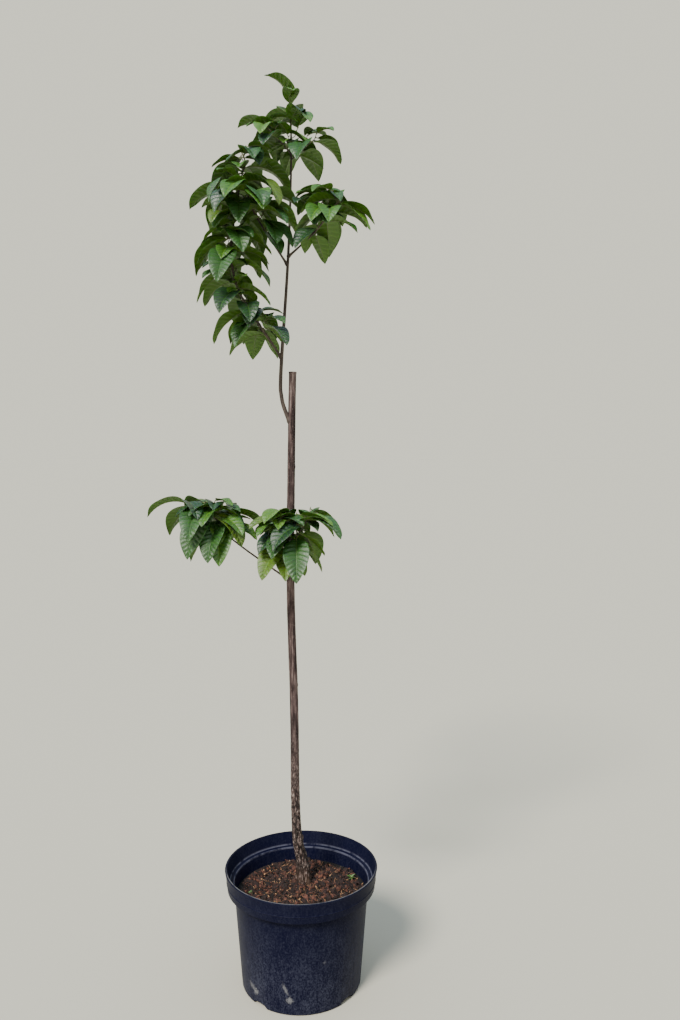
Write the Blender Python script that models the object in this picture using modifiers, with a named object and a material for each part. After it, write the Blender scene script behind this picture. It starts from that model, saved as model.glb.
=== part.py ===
"""A young date plum tree in a round nursery pot.

Metres, +Z up, +X to the right and +Y to the back. The origin is on the ground
under the middle of the pot. Each limb is a tapering tube through a few bends.
Each mass of foliage is one closed solid: a stem that goes on from its bough,
side twigs, and leaves that a seeded rule sets round them.
"""

import math
import random
from collections import namedtuple

import bmesh
import bpy
import numpy as np
from mathutils import Vector, noise

MM = 0.001
GAP = 0.3 * MM            # between solids that meet

# The pot
RIM_RADIUS = 155 * MM
COLLAR_FOOT_RADIUS = 150 * MM
BODY_TOP_RADIUS = 136.5 * MM
BASE_RADIUS = 121 * MM
POT_HEIGHT = 241 * MM
COLLAR_HEIGHT = 40 * MM
LEDGE_DEPTH = 28 * MM     # of the step inside the collar, below the rim
POT_WALL = 2.5 * MM
FLOOR = 4 * MM
RING_WIDTH = 17 * MM      # of the raised step round the floor, over the notches
RING_HEIGHT = 11.5 * MM
LIP = 4 * MM              # width of the rolled rim
POT_SIDES = 48
NOTCHES = 4               # drainage notches under the foot of the wall
NOTCH_TURN = math.radians(50)
NOTCH_WIDTH = 34 * MM
NOTCH_HEIGHT = 9 * MM
NOTCH_DEPTH = 14 * MM

# The growing medium
SOIL_LEVEL = 195 * MM
SOIL_FALL = 10 * MM       # from the stem to the wall
SOIL_LUMPS = 3 * MM
SOIL_LUMP_SIZE = 22 * MM
FOOT_FLAT = 35 * MM       # radius of the level patch that the trunk stands on

# The limbs: bends in mm, and the thickness in mm at the foot and at the tip
Limb = namedtuple("Limb", "bends thickness")
LIMBS = {
    "trunk": Limb([(4, 20, 195.3), (1, 20, 240), (-8, 15, 286), (-12, 10, 372), (-14, 8, 582),
                   (-20, 8, 830), (-16, 8, 1145), (-14, 8, 1239)], (33, 14.5)),
    "leader": Limb([(-16, 8, 1138), (-26, 8, 1156), (-36, 9, 1190), (-37, 10, 1243),
                    (-22, 2, 1450), (-15, 0, 1620), (-15, 0, 1738)], (8, 3)),
    "left": Limb([(-36, 9, 1266), (-53, 0, 1293), (-105, -40, 1372), (-121, -58, 1420),
                  (-122, -65, 1476), (-105, -62, 1583), (-97, -55, 1618), (-108, -50, 1648)], (5, 2.4)),
    "centre": Limb([(-23, 2, 1444), (-43, -20, 1472), (-63, -50, 1498), (-85, -85, 1537),
                    (-89, -100, 1574)], (4.4, 2.4)),
    "right": Limb([(-22, 1, 1459), (5, -20, 1477), (34, -55, 1495), (61, -85, 1521),
                   (79, -92, 1544)], (4.4, 2.2)),
    "low_left": Limb([(-20, 7, 826), (-42, -6, 843), (-131, -34, 914), (-159, -50, 954),
                      (-190, -60, 978), (-220, -62, 988)], (4, 2.2)),
    "low_front": Limb([(-20, 7, 828), (-25, -18, 855), (-28, -50, 910), (-34, -62, 956)], (4, 2.2)),
    "top_left": Limb([(-15, 0, 1652), (-27, -20, 1661), (-50, -35, 1682)], (2.6, 2)),
    "top_right": Limb([(-15, 0, 1641), (1, -15, 1649), (26, -30, 1666)], (2.6, 2)),
    "right_up": Limb([(27, -47, 1492), (29, -60, 1510), (38, -60, 1535), (62, -58, 1565)], (2.6, 2)),
    "low_left_up": Limb([(-145, -42, 932), (-150, -50, 953), (-151, -55, 968)], (2.6, 2)),
    "low_front_up": Limb([(-26, -34, 883), (-9, -55, 913), (24, -72, 966)], (2.6, 2)),
}
TRUNK_WAIST = 9.2 * MM    # radius of the trunk above the flare at its foot
FLARE_HEIGHT = 57 * MM    # in which the flare shrinks to a third
FLARE_REACH = 3 * FLARE_HEIGHT
FLARE_LOBES = 5
LOBE_DEPTH = 0.16
LOBE_HEIGHT = 40 * MM
FOOT_TRIM = 3 * MM        # the foot is cut level within this height

# The masses of foliage: a bough's line, the fraction where the mass begins, and its side twigs
Mass = namedtuple("Mass", "stem start twigs")
MASSES = {
    "foliage_top": Mass("leader", 0.80, ["top_left", "top_right"]),
    "foliage_left": Mass("left", 0.09, []),
    "foliage_centre": Mass("centre", 0.42, []),
    "foliage_right": Mass("right", 0.36, ["right_up"]),
    "foliage_low_left": Mass("low_left", 0.58, ["low_left_up"]),
    "foliage_low_front": Mass("low_front", 0.40, ["low_front_up"]),
}

# The leaves, twig by twig: the stretch of the line that bears them as fractions, how many,
# their lengths in mm at its start, middle and end, the rise of the last one and the compass
# turn of the first in degrees, and the seed of their spread
Spray = namedtuple("Spray", "mass twig first last leaves lengths lift turn seed")
SPRAYS = [
    Spray("foliage_top", "leader", 0.86, 0.995, 7, (55, 80, 105), 85, 120, 9),
    Spray("foliage_top", "top_left", 0.35, 0.97, 5, (55, 85, 85), 40, 350, 91),
    Spray("foliage_top", "top_right", 0.35, 0.97, 4, (60, 95, 90), 20, 340, 785),
    Spray("foliage_left", "left", 0.13, 0.40, 11, (85, 98, 95), 10, 200, 15),
    Spray("foliage_left", "left", 0.44, 0.67, 10, (85, 108, 90), 10, 60, 84),
    Spray("foliage_left", "left", 0.69, 0.98, 12, (90, 118, 80), 15, 340, 961),
    Spray("foliage_left", "left", 0.71, 0.75, 2, (108, 110, 112), 30, 15, 350),
    Spray("foliage_centre", "centre", 0.46, 0.98, 13, (85, 105, 95), 20, 300, 985),
    Spray("foliage_right", "right", 0.50, 0.98, 7, (75, 98, 90), 20, 60, 540),
    Spray("foliage_right", "right_up", 0.35, 0.97, 4, (55, 80, 75), 20, 140, 900),
    Spray("foliage_low_left", "low_left", 0.64, 0.98, 11, (90, 118, 90), 15, 30, 759),
    Spray("foliage_low_left", "low_left_up", 0.50, 0.97, 4, (80, 108, 68), 20, 130, 588),
    Spray("foliage_low_front", "low_front", 0.50, 0.98, 9, (85, 98, 75), 30, 300, 813),
    Spray("foliage_low_front", "low_front_up", 0.35, 0.97, 6, (90, 110, 90), 10, 150, 545),
]
BASE_RISE = -12           # degrees, of a spray's first leaf
RISE_SPREAD = 24
TURN_SPREAD = 28
ROLL_SPREAD = 14
SIZE_SPREAD = (0.84, 1.04)

# One leaf
GOLDEN_ANGLE = math.radians(137.5)
PETIOLE = 0.10            # of the leaf's length
ASPECT = 0.46             # width of the blade over the leaf's length
FOLD = math.radians(18)
DROOP = math.radians(0.72) / MM
ERECT = 0.3               # how much less an upright leaf bends
LEAST_BEND = 0.25         # radians
BASE_POWER = 0.75         # how bluntly the blade opens at its base
TIP_POWER = 1.15          # how finely it ends at its tip
WIDEST = BASE_POWER / (BASE_POWER + TIP_POWER)
FULLNESS = 1 / (WIDEST**BASE_POWER * (1 - WIDEST) ** TIP_POWER)
LEAF_THICKNESS = 1.2 * MM
STALK_HALF_WIDTH = 1.1 * MM
STATIONS = (0, 0.2, 0.5, 0.8, 1)   # along the blade, 0 at its base and 1 at its tip

# Clearance between leaves and what stands near them
ROOM = 10 * MM
OWN_ROOM = 6 * MM
NUDGES = [math.radians(turn) for turn in (0, 12, -12, 24, -24, 36, -36)]
LIMB_PROBE = 6 * MM
PROBE_S = np.linspace(0.3, 1, 6)[:, None]
PROBE_T = np.linspace(-0.9, 0.9, 5)[None, :]

BEND_STEPS = 8
TUBE_STEP = 28 * MM
UP = np.array([0, 0, 1])


# ---------------------------------------------------------------- collections and materials

def new_collection(name):
    made = bpy.data.collections.new(name)
    bpy.context.scene.collection.children.link(made)
    return made


def clear_scene():
    for obj in list(bpy.data.objects):
        bpy.data.objects.remove(obj, do_unlink=True)


def material(name, colour, roughness):
    made = bpy.data.materials.new(name)
    made.use_nodes = True
    made.diffuse_color = (*colour, 1)
    shader = made.node_tree.nodes["Principled BSDF"]
    shader.inputs["Base Color"].default_value = (*colour, 1)
    shader.inputs["Roughness"].default_value = roughness
    shader.inputs["Metallic"].default_value = 0
    return made


def add_object(name, mesh, collection, look=None):
    obj = bpy.data.objects.new(name, mesh)
    if look:
        mesh.materials.clear()
        mesh.materials.append(look)
    collection.objects.link(obj)
    return obj


def baked(obj):
    """The object's mesh with its modifiers applied."""
    bpy.context.view_layer.update()
    seen = obj.evaluated_get(bpy.context.evaluated_depsgraph_get())
    return bpy.data.meshes.new_from_object(seen)


def bake(obj):
    """Apply the object's modifiers in place."""
    mesh = baked(obj)
    obj.modifiers.clear()
    obj.data = mesh


# ---------------------------------------------------------------- lines of the limbs

class Route:
    """A smooth line through a limb's bends, read by the fraction of its length."""

    def __init__(self, bends):
        p = np.array(bends, float) * MM
        p = np.vstack([2 * p[0] - p[1], p, 2 * p[-1] - p[-2]])
        t = np.linspace(0, 1, BEND_STEPS, endpoint=False)[:, None]
        arcs = [self.arc(a, b, c, d, t) for a, b, c, d in zip(p, p[1:], p[2:], p[3:])]
        self.points = np.vstack(arcs + [p[-2]])
        steps = np.linalg.norm(np.diff(self.points, axis=0), axis=1)
        self.run = np.concatenate([[0], np.cumsum(steps)])
        self.length = self.run[-1]

    @staticmethod
    def arc(a, b, c, d, t):
        """Catmull-Rom curve from b to c."""
        return 0.5 * (2 * b + (c - a) * t + (2 * a - 5 * b + 4 * c - d) * t**2
                      + (3 * b - a - 3 * c + d) * t**3)

    def at(self, fraction):
        far = np.asarray(fraction) * self.length
        return np.stack([np.interp(far, self.run, self.points[:, k]) for k in range(3)], axis=-1)


ROUTES = {name: Route(limb.bends) for name, limb in LIMBS.items()}


def radius(name, fraction):
    first, last = LIMBS[name].thickness
    return (first + (last - first) * fraction) / 2 * MM


def trunk_radius(name, fraction):
    """An even taper above, and a flare that dies away above the ground."""
    first, last = LIMBS[name].thickness
    high = fraction * ROUTES[name].length
    flare = (first / 2 * MM - TRUNK_WAIST) * math.exp(-high / FLARE_HEIGHT)
    return TRUNK_WAIST + (last / 2 * MM - TRUNK_WAIST) * fraction + flare


# ---------------------------------------------------------------- tubes and cuts

def tube(name, route_name, start, end, collection, look=None, sides=8, swell=0.0, thick=radius):
    """A tapering tube along a limb's line between two fractions of it, as a welded mesh."""
    route = ROUTES[route_name]
    steps = max(2, round((end - start) * route.length / TUBE_STEP))
    curve = bpy.data.curves.new(name, "CURVE")
    curve.dimensions = "3D"
    curve.bevel_depth = 1
    curve.bevel_resolution = (sides - 4) // 2
    curve.use_fill_caps = True
    spline = curve.splines.new("POLY")
    spline.points.add(steps)
    for i, point in enumerate(spline.points):
        fraction = start + (end - start) * i / steps
        point.co = (*route.at(fraction), 1)
        point.radius = thick(route_name, fraction) + swell
    guide = bpy.data.objects.new(name + "_line", curve)
    collection.objects.link(guide)
    mesh = baked(guide)
    bpy.data.objects.remove(guide)
    work = bmesh.new()
    work.from_mesh(mesh)
    bmesh.ops.remove_doubles(work, verts=work.verts, dist=MM / 100)
    bmesh.ops.recalc_face_normals(work, faces=work.faces)
    work.to_mesh(mesh)
    work.free()
    mesh.shade_smooth()
    return add_object(name, mesh, collection, look)


def cut(target, cutter):
    """Take the cutter's shape away from the target."""
    tool = target.modifiers.new("Cut", "BOOLEAN")
    tool.operation = "DIFFERENCE"
    tool.solver = "EXACT"
    tool.object = cutter
    cutter.hide_render = True
    cutter.display_type = "WIRE"


def drop_scraps(mesh):
    """Keep the largest piece of a mesh that a cut has left in several."""
    work = bmesh.new()
    work.from_mesh(mesh)
    unseen = set(work.verts)
    pieces = []
    while unseen:
        piece = set()
        edge = [unseen.pop()]
        while edge:
            vert = edge.pop()
            piece.add(vert)
            near = {e.other_vert(vert) for e in vert.link_edges} & unseen
            unseen -= near
            edge += near
        pieces.append(piece)
    pieces.sort(key=len)
    for piece in pieces[:-1]:
        bmesh.ops.delete(work, geom=list(piece), context="VERTS")
    work.to_mesh(mesh)
    work.free()


# ---------------------------------------------------------------- pot and soil

def lathe(name, profile, sides, collection, look=None):
    """Turn a profile of (radius, height) points, which runs down the outside, round Z."""
    mesh = bpy.data.meshes.new(name)
    points = [(r, 0, z) for r, z in profile]
    mesh.from_pydata(points, [(i, i + 1) for i in range(len(points) - 1)], [])
    obj = add_object(name, mesh, collection)
    turn = obj.modifiers.new("Turn", "SCREW")
    turn.angle = math.tau
    turn.steps = sides
    turn.render_steps = sides
    turn.use_merge_vertices = True
    turn.merge_threshold = MM / 10
    turn.use_smooth_shade = True
    bake(obj)
    if look:
        obj.data.materials.append(look)
    return obj


def body_radius(height):
    """Outer radius of the pot's tapering body."""
    return BASE_RADIUS + (BODY_TOP_RADIUS - BASE_RADIUS) * height / (POT_HEIGHT - COLLAR_HEIGHT)


def make_pot(collection, cutters, look):
    skirt = POT_HEIGHT - COLLAR_HEIGHT
    ledge = POT_HEIGHT - LEDGE_DEPTH
    outer_ledge = ledge - POT_WALL
    ledge_radius = COLLAR_FOOT_RADIUS - POT_WALL
    inner_top = body_radius(skirt) - POT_WALL
    profile = [
        (0, FLOOR),
        (BASE_RADIUS - RING_WIDTH - RING_HEIGHT / 2, FLOOR),
        (BASE_RADIUS - RING_WIDTH, RING_HEIGHT),
        (body_radius(RING_HEIGHT) - POT_WALL, RING_HEIGHT),
        (inner_top, skirt),
        (inner_top + POT_WALL, ledge),
        (ledge_radius - POT_WALL, ledge + POT_WALL / 2),
        (RIM_RADIUS - LIP, POT_HEIGHT),
        (RIM_RADIUS - 0.5 * MM, POT_HEIGHT),
        (RIM_RADIUS, POT_HEIGHT - 1.5 * MM),
        (RIM_RADIUS - MM, POT_HEIGHT - 5 * MM),
        (COLLAR_FOOT_RADIUS, skirt),
        (ledge_radius, skirt),
        (ledge_radius, outer_ledge),
        (body_radius(skirt) + POT_WALL / 2, outer_ledge - POT_WALL / 2),
        (body_radius(skirt), skirt - MM),
        (BASE_RADIUS + MM / 2, 3 * MM),
        (BASE_RADIUS - 2 * MM, 0),
        (0, 0),
    ]
    pot = lathe("pot", profile, POT_SIDES, collection, look)
    for i in range(NOTCHES):
        angle = NOTCH_TURN + math.tau * i / NOTCHES
        out = BASE_RADIUS
        bpy.ops.mesh.primitive_cube_add(size=1, location=(out * math.cos(angle), out * math.sin(angle), 0),
                                        rotation=(0, 0, angle))
        notch = bpy.context.object
        notch.name = f"notch_{i + 1}"
        notch.scale = (2 * NOTCH_DEPTH, NOTCH_WIDTH, 2 * NOTCH_HEIGHT)
        notch.users_collection[0].objects.unlink(notch)
        cutters.objects.link(notch)
        cut(pot, notch)
    return pot


def make_soil(collection, look):
    """A plug that fills the pot: its top falls gently to the wall and is lumpy past the level patch."""
    wall = body_radius(SOIL_LEVEL - SOIL_FALL) - POT_WALL - GAP
    foot = body_radius(RING_HEIGHT) - POT_WALL - GAP
    ring = BASE_RADIUS - RING_WIDTH - GAP
    rings = [FOOT_FLAT + (wall - FOOT_FLAT) * i / 5 for i in range(6)]
    top = [(r, SOIL_LEVEL - SOIL_FALL * (r - FOOT_FLAT) / (wall - FOOT_FLAT)) for r in rings]
    base = [(foot, RING_HEIGHT + GAP), (ring, RING_HEIGHT + GAP), (ring - RING_HEIGHT / 2, FLOOR + GAP),
            (0, FLOOR + GAP)]
    profile = [(0, SOIL_LEVEL)] + top + base
    soil = lathe("soil", profile, POT_SIDES, collection, look)
    for vert in soil.data.vertices:
        out = vert.co.xy.length
        if vert.co.z > SOIL_LEVEL / 2 and FOOT_FLAT + MM < out < wall - MM:
            vert.co.z += SOIL_LUMPS * noise.noise(vert.co / SOIL_LUMP_SIZE)
    return soil


# ---------------------------------------------------------------- trunk and boughs

def make_trunk(collection, look):
    trunk = tube("trunk", "trunk", 0, 1, collection, look, sides=12, thick=trunk_radius)
    ground = ROUTES["trunk"].points[0]
    for vert in trunk.data.vertices:
        high = vert.co.z - ground[2]
        if high < FOOT_TRIM:
            vert.co.z = ground[2]
            high = 0
        if high < FLARE_REACH:
            axis = Vector(ROUTES["trunk"].at(high / ROUTES["trunk"].length))
            side = vert.co - axis
            angle = math.atan2(side.y, side.x)
            lobe = 1 + LOBE_DEPTH * math.cos(FLARE_LOBES * angle) * math.exp(-high / LOBE_HEIGHT)
            vert.co.x = axis.x + side.x * lobe
            vert.co.y = axis.y + side.y * lobe
    return trunk


def make_bough(name, route_name, end, parent, collection, cutters, look):
    """A limb from inside its parent's side, cut back to a hair's gap from it."""
    bough = tube(name, route_name, 0, end, collection, look)
    parent_name, parent_thick, parent_sides = parent
    swollen = tube(name + "_seat", parent_name, 0, 1, cutters, None, parent_sides, GAP, parent_thick)
    cut(bough, swollen)
    bake(bough)
    drop_scraps(bough.data)
    bpy.data.objects.remove(swollen)
    return bough


# ---------------------------------------------------------------- leaves

Leaf = namedtuple("Leaf", "foot heading rise length roll")


def axes(heading, pitch):
    """Unit vectors along a leaf, to its right, and out of its upper face."""
    ch, sh = math.cos(heading), math.sin(heading)
    cp, sp = np.cos(pitch), np.sin(pitch)
    level = np.zeros_like(cp)
    along = np.stack([ch * cp, sh * cp, sp], axis=-1)
    right = np.stack([sh + level, -ch + level, level], axis=-1)
    face = np.stack([-ch * sp, -sh * sp, cp], axis=-1)
    return along, right, face


def half_width(leaf, s):
    """Half the blade's width: round near the base, then a long tapering tip."""
    shape = FULLNESS * np.abs(s) ** BASE_POWER * np.abs(1 - s) ** TIP_POWER
    return shape * ASPECT * leaf.length / 2


def blade(leaf, s, t, least=0.0):
    """Points of a leaf's blade: s runs from its base to its tip, t from edge to edge."""
    s, t = np.broadcast_arrays(np.asarray(s, float), np.asarray(t, float))
    bend = (leaf.rise + DROOP * leaf.length) * (1 - ERECT * max(0, math.sin(leaf.rise)))
    bend = max(LEAST_BEND, bend)
    pitch = leaf.rise - bend * s
    start, _, _ = axes(leaf.heading, np.array(leaf.rise))
    _, right, face = axes(leaf.heading, pitch)
    level = np.array([math.cos(leaf.heading), math.sin(leaf.heading), 0])
    far = (math.sin(leaf.rise) - np.sin(pitch)) / bend
    high = (np.cos(pitch) - math.cos(leaf.rise)) / bend
    spine = leaf.foot + start * PETIOLE * leaf.length
    spine = spine + leaf.length * (1 - PETIOLE) * (far[..., None] * level + high[..., None] * UP)
    cr, sr = math.cos(leaf.roll), math.sin(leaf.roll)
    right, face = right * cr + face * sr, face * cr - right * sr
    half = np.maximum(half_width(leaf, s), least)
    across = (half * t * math.cos(FOLD))[..., None] * right
    lift = (half * np.abs(t) * math.sin(FOLD))[..., None] * face
    return spine + across + lift


def probe(leaf):
    return blade(leaf, PROBE_S, PROBE_T).reshape(-1, 3)


def spray_leaves(spray):
    """The leaves that a stretch of twig would bear, each a golden angle on from the last."""
    chance = random.Random(spray.seed)
    first, middle, last = spray.lengths
    for i in range(spray.leaves):
        t = i / (spray.leaves - 1)
        length = first * (1 - t) * (1 - 2 * t) + 4 * middle * t * (1 - t) + last * t * (2 * t - 1)
        length *= chance.uniform(*SIZE_SPREAD) * MM
        heading = math.radians(spray.turn + chance.uniform(-TURN_SPREAD, TURN_SPREAD))
        heading += GOLDEN_ANGLE * i
        lift = BASE_RISE + (spray.lift - BASE_RISE) * t**2
        rise = math.radians(lift + chance.uniform(-RISE_SPREAD, RISE_SPREAD) * (1 - t / 2))
        roll = math.radians(chance.uniform(-ROLL_SPREAD, ROLL_SPREAD))
        foot = ROUTES[spray.twig].at(spray.first + (spray.last - spray.first) * t)
        yield Leaf(foot, heading, rise, length, roll)


def nearest(points, others):
    if not len(others):
        return math.inf
    gaps = points[:, None, :] - np.vstack(others)[None, :, :]
    return np.sqrt((gaps**2).sum(axis=2)).min()


def grow_leaves():
    """Every leaf of the tree by its mass. One that finds no room, however it turns, is skipped."""
    limbs = []
    for route in ROUTES.values():
        limbs.append(route.at(np.linspace(0, 1, max(4, int(route.length / LIMB_PROBE)))))
    grown = {name: [] for name in MASSES}
    probes = {name: [] for name in MASSES}
    for spray in SPRAYS:
        foreign = limbs + [p for name in MASSES if name != spray.mass for p in probes[name]]
        for leaf in spray_leaves(spray):
            for nudge in NUDGES:
                turned = leaf._replace(heading=leaf.heading + nudge)
                points = probe(turned)
                if nearest(points, foreign) >= ROOM and nearest(points, probes[spray.mass]) >= OWN_ROOM:
                    grown[spray.mass].append(turned)
                    probes[spray.mass].append(points)
                    break
    return grown


def leaf_mesh(leaf, name):
    """A closed leaf: a grid bent to the blade, with its first row drawn back into the twig."""
    grid = bmesh.new()
    rows = len(STATIONS)
    bmesh.ops.create_grid(grid, x_segments=rows, y_segments=2, size=1)
    _, right, _ = axes(leaf.heading, np.array(leaf.rise))
    for vert in grid.verts:
        row = round((vert.co.x + 1) / 2 * rows)
        t = vert.co.y
        if row == 0:
            vert.co = Vector(leaf.foot + right * t * STALK_HALF_WIDTH)
        else:
            vert.co = Vector(blade(leaf, STATIONS[row - 1], t, STALK_HALF_WIDTH))
    mesh = bpy.data.meshes.new(name)
    grid.to_mesh(mesh)
    grid.free()
    return mesh


def make_mass(name, mass, leaves, collection, look):
    """One closed solid of stem, side twigs and leaves, joined by one union."""
    stem_route = ROUTES[mass.stem]
    start = mass.start + GAP / stem_route.length
    stem = tube(name, mass.stem, start, 1, collection, look, sides=6)
    parts = new_collection(name + "_parts")
    for twig in mass.twigs:
        tube(twig, twig, 0, 1, parts, look, sides=6)
    for i, leaf in enumerate(leaves):
        obj = add_object(f"{name}_leaf_{i + 1}", leaf_mesh(leaf, name), parts, look)
        shell = obj.modifiers.new("Thickness", "SOLIDIFY")
        shell.thickness = LEAF_THICKNESS
        shell.offset = 0
        bake(obj)
    join = stem.modifiers.new("Union", "BOOLEAN")
    join.operation = "UNION"
    join.operand_type = "COLLECTION"
    join.solver = "EXACT"
    join.collection = parts
    bake(stem)
    for obj in list(parts.objects):
        bpy.data.objects.remove(obj)
    bpy.data.collections.remove(parts)
    drop_scraps(stem.data)
    return stem


# ---------------------------------------------------------------- the whole tree

def build():
    clear_scene()
    tree = new_collection("potted_date_plum_tree")
    cutters = new_collection("cutters")
    plastic = material("pot_plastic", (0.018, 0.020, 0.023), 0.55)
    medium = material("soil", (0.085, 0.055, 0.035), 0.95)
    bark = material("bark", (0.105, 0.080, 0.062), 0.85)
    green_bark = material("young_bark", (0.150, 0.120, 0.075), 0.75)
    green = material("leaf", (0.030, 0.095, 0.022), 0.40)

    make_pot(tree, cutters, plastic)
    make_soil(tree, medium)
    make_trunk(tree, bark)
    trunk = ("trunk", trunk_radius, 12)
    leader = ("leader", radius, 8)
    make_bough("leader", "leader", MASSES["foliage_top"].start, trunk, tree, cutters, green_bark)
    parents = {"left": leader, "centre": leader, "right": leader, "low_left": trunk, "low_front": trunk}
    for side, parent in parents.items():
        end = MASSES["foliage_" + side].start
        make_bough("bough_" + side, side, end, parent, tree, cutters, green_bark)
    leaves = grow_leaves()
    for name, mass in MASSES.items():
        make_mass(name, mass, leaves[name], tree, green)


build()
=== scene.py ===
"""Looks of a young date plum tree in a round nursery pot.

Metres, +Z up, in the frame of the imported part, with the origin on the ground under
the middle of the pot. The limbs and leaves grow by the same seeded rule as the
part's own solids, and go on to finer shoots, stalks, buds and veins.
"""

import math
import random
from collections import namedtuple
from itertools import combinations

import bpy
import numpy as np
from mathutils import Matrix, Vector, noise


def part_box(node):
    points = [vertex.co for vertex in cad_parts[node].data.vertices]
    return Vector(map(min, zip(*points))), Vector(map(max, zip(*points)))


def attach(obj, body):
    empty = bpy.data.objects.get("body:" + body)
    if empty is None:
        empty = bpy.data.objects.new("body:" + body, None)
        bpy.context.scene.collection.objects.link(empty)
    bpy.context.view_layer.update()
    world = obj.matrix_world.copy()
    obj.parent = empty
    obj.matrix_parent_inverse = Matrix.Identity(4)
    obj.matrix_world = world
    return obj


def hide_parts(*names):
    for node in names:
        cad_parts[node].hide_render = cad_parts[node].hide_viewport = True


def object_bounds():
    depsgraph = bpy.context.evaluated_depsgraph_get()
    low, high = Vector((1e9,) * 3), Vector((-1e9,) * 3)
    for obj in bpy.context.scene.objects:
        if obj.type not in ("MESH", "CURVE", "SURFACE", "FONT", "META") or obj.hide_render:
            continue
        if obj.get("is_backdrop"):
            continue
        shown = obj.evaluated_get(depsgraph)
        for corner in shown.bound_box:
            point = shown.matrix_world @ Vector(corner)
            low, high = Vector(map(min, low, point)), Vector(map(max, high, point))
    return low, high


MM = 0.001
UP = np.array([0, 0, 1])
ASKEW = UP + [0.01, 0.02, 0]    # a direction in which no limb sets out

# ---------------- sizes

# The pot
RIM_RADIUS = 155 * MM
COLLAR_FOOT_RADIUS = 150 * MM
BODY_TOP_RADIUS = 136.5 * MM
BASE_RADIUS = 121 * MM
POT_HEIGHT = 241 * MM
COLLAR_HEIGHT = 40 * MM
LEDGE_DEPTH = 28 * MM     # of the step inside the collar, below the rim
POT_WALL = 2.5 * MM
FLOOR = 4 * MM
RING_WIDTH = 17 * MM      # of the raised step round the floor, over the notches
RING_HEIGHT = 11.5 * MM
LIP = 4 * MM
RIM_ROUND = 1.5 * MM
RIM_BAND = 5 * MM         # height of the band round the rim
RIM_STEP = 1 * MM         # how far the band stands out past the collar
FOOT_BEVEL = (2 * MM, 3 * MM)    # in and up, where the pot stands on the ground
NOTCHES = 4
NOTCH_TURN = math.radians(50)
NOTCH_WIDTH = 34 * MM
NOTCH_HEIGHT = 9 * MM
NOTCH_DEPTH = 14 * MM
POT_SIDES = 160
POT_EDGE = 0.7 * MM       # rounding of its moulded edges
SHARP = math.radians(28)  # the least turn that counts as an edge
BEAD_HEIGHT = 215 * MM    # of the fine bead round the collar
BEAD_SIZE = 0.8 * MM
BEAD_ROUND = ((1.6, 0), (0.7, 0.8), (0, 1), (-0.7, 0.8), (-1.6, 0))    # up and out, in sizes
SKIRT_HEIGHT = POT_HEIGHT - COLLAR_HEIGHT
LEDGE_HEIGHT = POT_HEIGHT - LEDGE_DEPTH

# The growing medium
GAP = 0.3 * MM
SOIL_LEVEL = 195 * MM
SOIL_FALL = 10 * MM
FOOT_FLAT = 35 * MM
SOIL_LUMPS = ((4, 22), (4.2, 9), (2, 3.8))    # height and width in mm
SOIL_MARGIN = 6 * MM      # by the wall, where the lumps die away
SOIL_RINGS = 56
SOIL_SIDES = 150

# The limbs: bends in mm, and the thickness in mm at the foot and at the tip
Limb = namedtuple("Limb", "bends thickness")
LIMBS = {
    "trunk": Limb([(4, 20, 195.3), (1, 20, 240), (-8, 15, 286), (-12, 10, 372),
                   (-14, 8, 582), (-20, 8, 830), (-16, 8, 1145), (-14, 8, 1239)], (33, 14.5)),
    "leader": Limb([(-16, 8, 1138), (-26, 8, 1156), (-36, 9, 1190), (-37, 10, 1243),
                    (-22, 2, 1450), (-15, 0, 1620), (-15, 0, 1738)], (8, 3)),
    "left": Limb([(-36, 9, 1266), (-53, 0, 1293), (-105, -40, 1372), (-121, -58, 1420),
                  (-122, -65, 1476), (-105, -62, 1583), (-97, -55, 1618),
                  (-108, -50, 1648)], (5, 2.4)),
    "centre": Limb([(-23, 2, 1444), (-43, -20, 1472), (-63, -50, 1498), (-85, -85, 1537),
                    (-89, -100, 1574)], (4.4, 2.4)),
    "right": Limb([(-22, 1, 1459), (5, -20, 1477), (34, -55, 1495), (61, -85, 1521),
                   (79, -92, 1544)], (4.4, 2.2)),
    "low_left": Limb([(-20, 7, 826), (-42, -6, 843), (-131, -34, 914), (-159, -50, 954),
                      (-190, -60, 978), (-220, -62, 988)], (4, 2.2)),
    "low_front": Limb([(-20, 7, 828), (-25, -18, 855), (-28, -50, 910),
                       (-34, -62, 956)], (4, 2.2)),
    "top_left": Limb([(-15, 0, 1652), (-27, -20, 1661), (-50, -35, 1682)], (2.6, 2)),
    "top_right": Limb([(-15, 0, 1641), (1, -15, 1649), (26, -30, 1666)], (2.6, 2)),
    "right_up": Limb([(27, -47, 1492), (29, -60, 1510), (38, -60, 1535),
                      (62, -58, 1565)], (2.6, 2)),
    "low_left_up": Limb([(-145, -42, 932), (-150, -50, 953), (-151, -55, 968)], (2.6, 2)),
    "low_front_up": Limb([(-26, -34, 883), (-9, -55, 913), (24, -72, 966)], (2.6, 2)),
}
TRUNK_WAIST = 9.2 * MM    # radius of the trunk above the flare at its foot
FLARE_HEIGHT = 57 * MM    # in which the flare shrinks to a third
FLARE_LOBES = 5
LOBE_DEPTH = 0.16
LOBE_HEIGHT = 40 * MM
COLLAR_SWELL = 0.7        # how much a limb swells where it leaves its parent
COLLAR_LENGTH = 4.5 * MM
# How deep each bough starts inside its parent, in mm
BURIED = {"left": 4, "centre": 3.5, "right": 3.5, "low_left": 9, "low_front": 9}
LEADER_BURIED = 8 * MM
BOUGH_SIDES = 28
BOUGH_STEP = 1.6 * MM     # between the rings of a bough
BOUGH_RELIEF = 0.13 * MM

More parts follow.
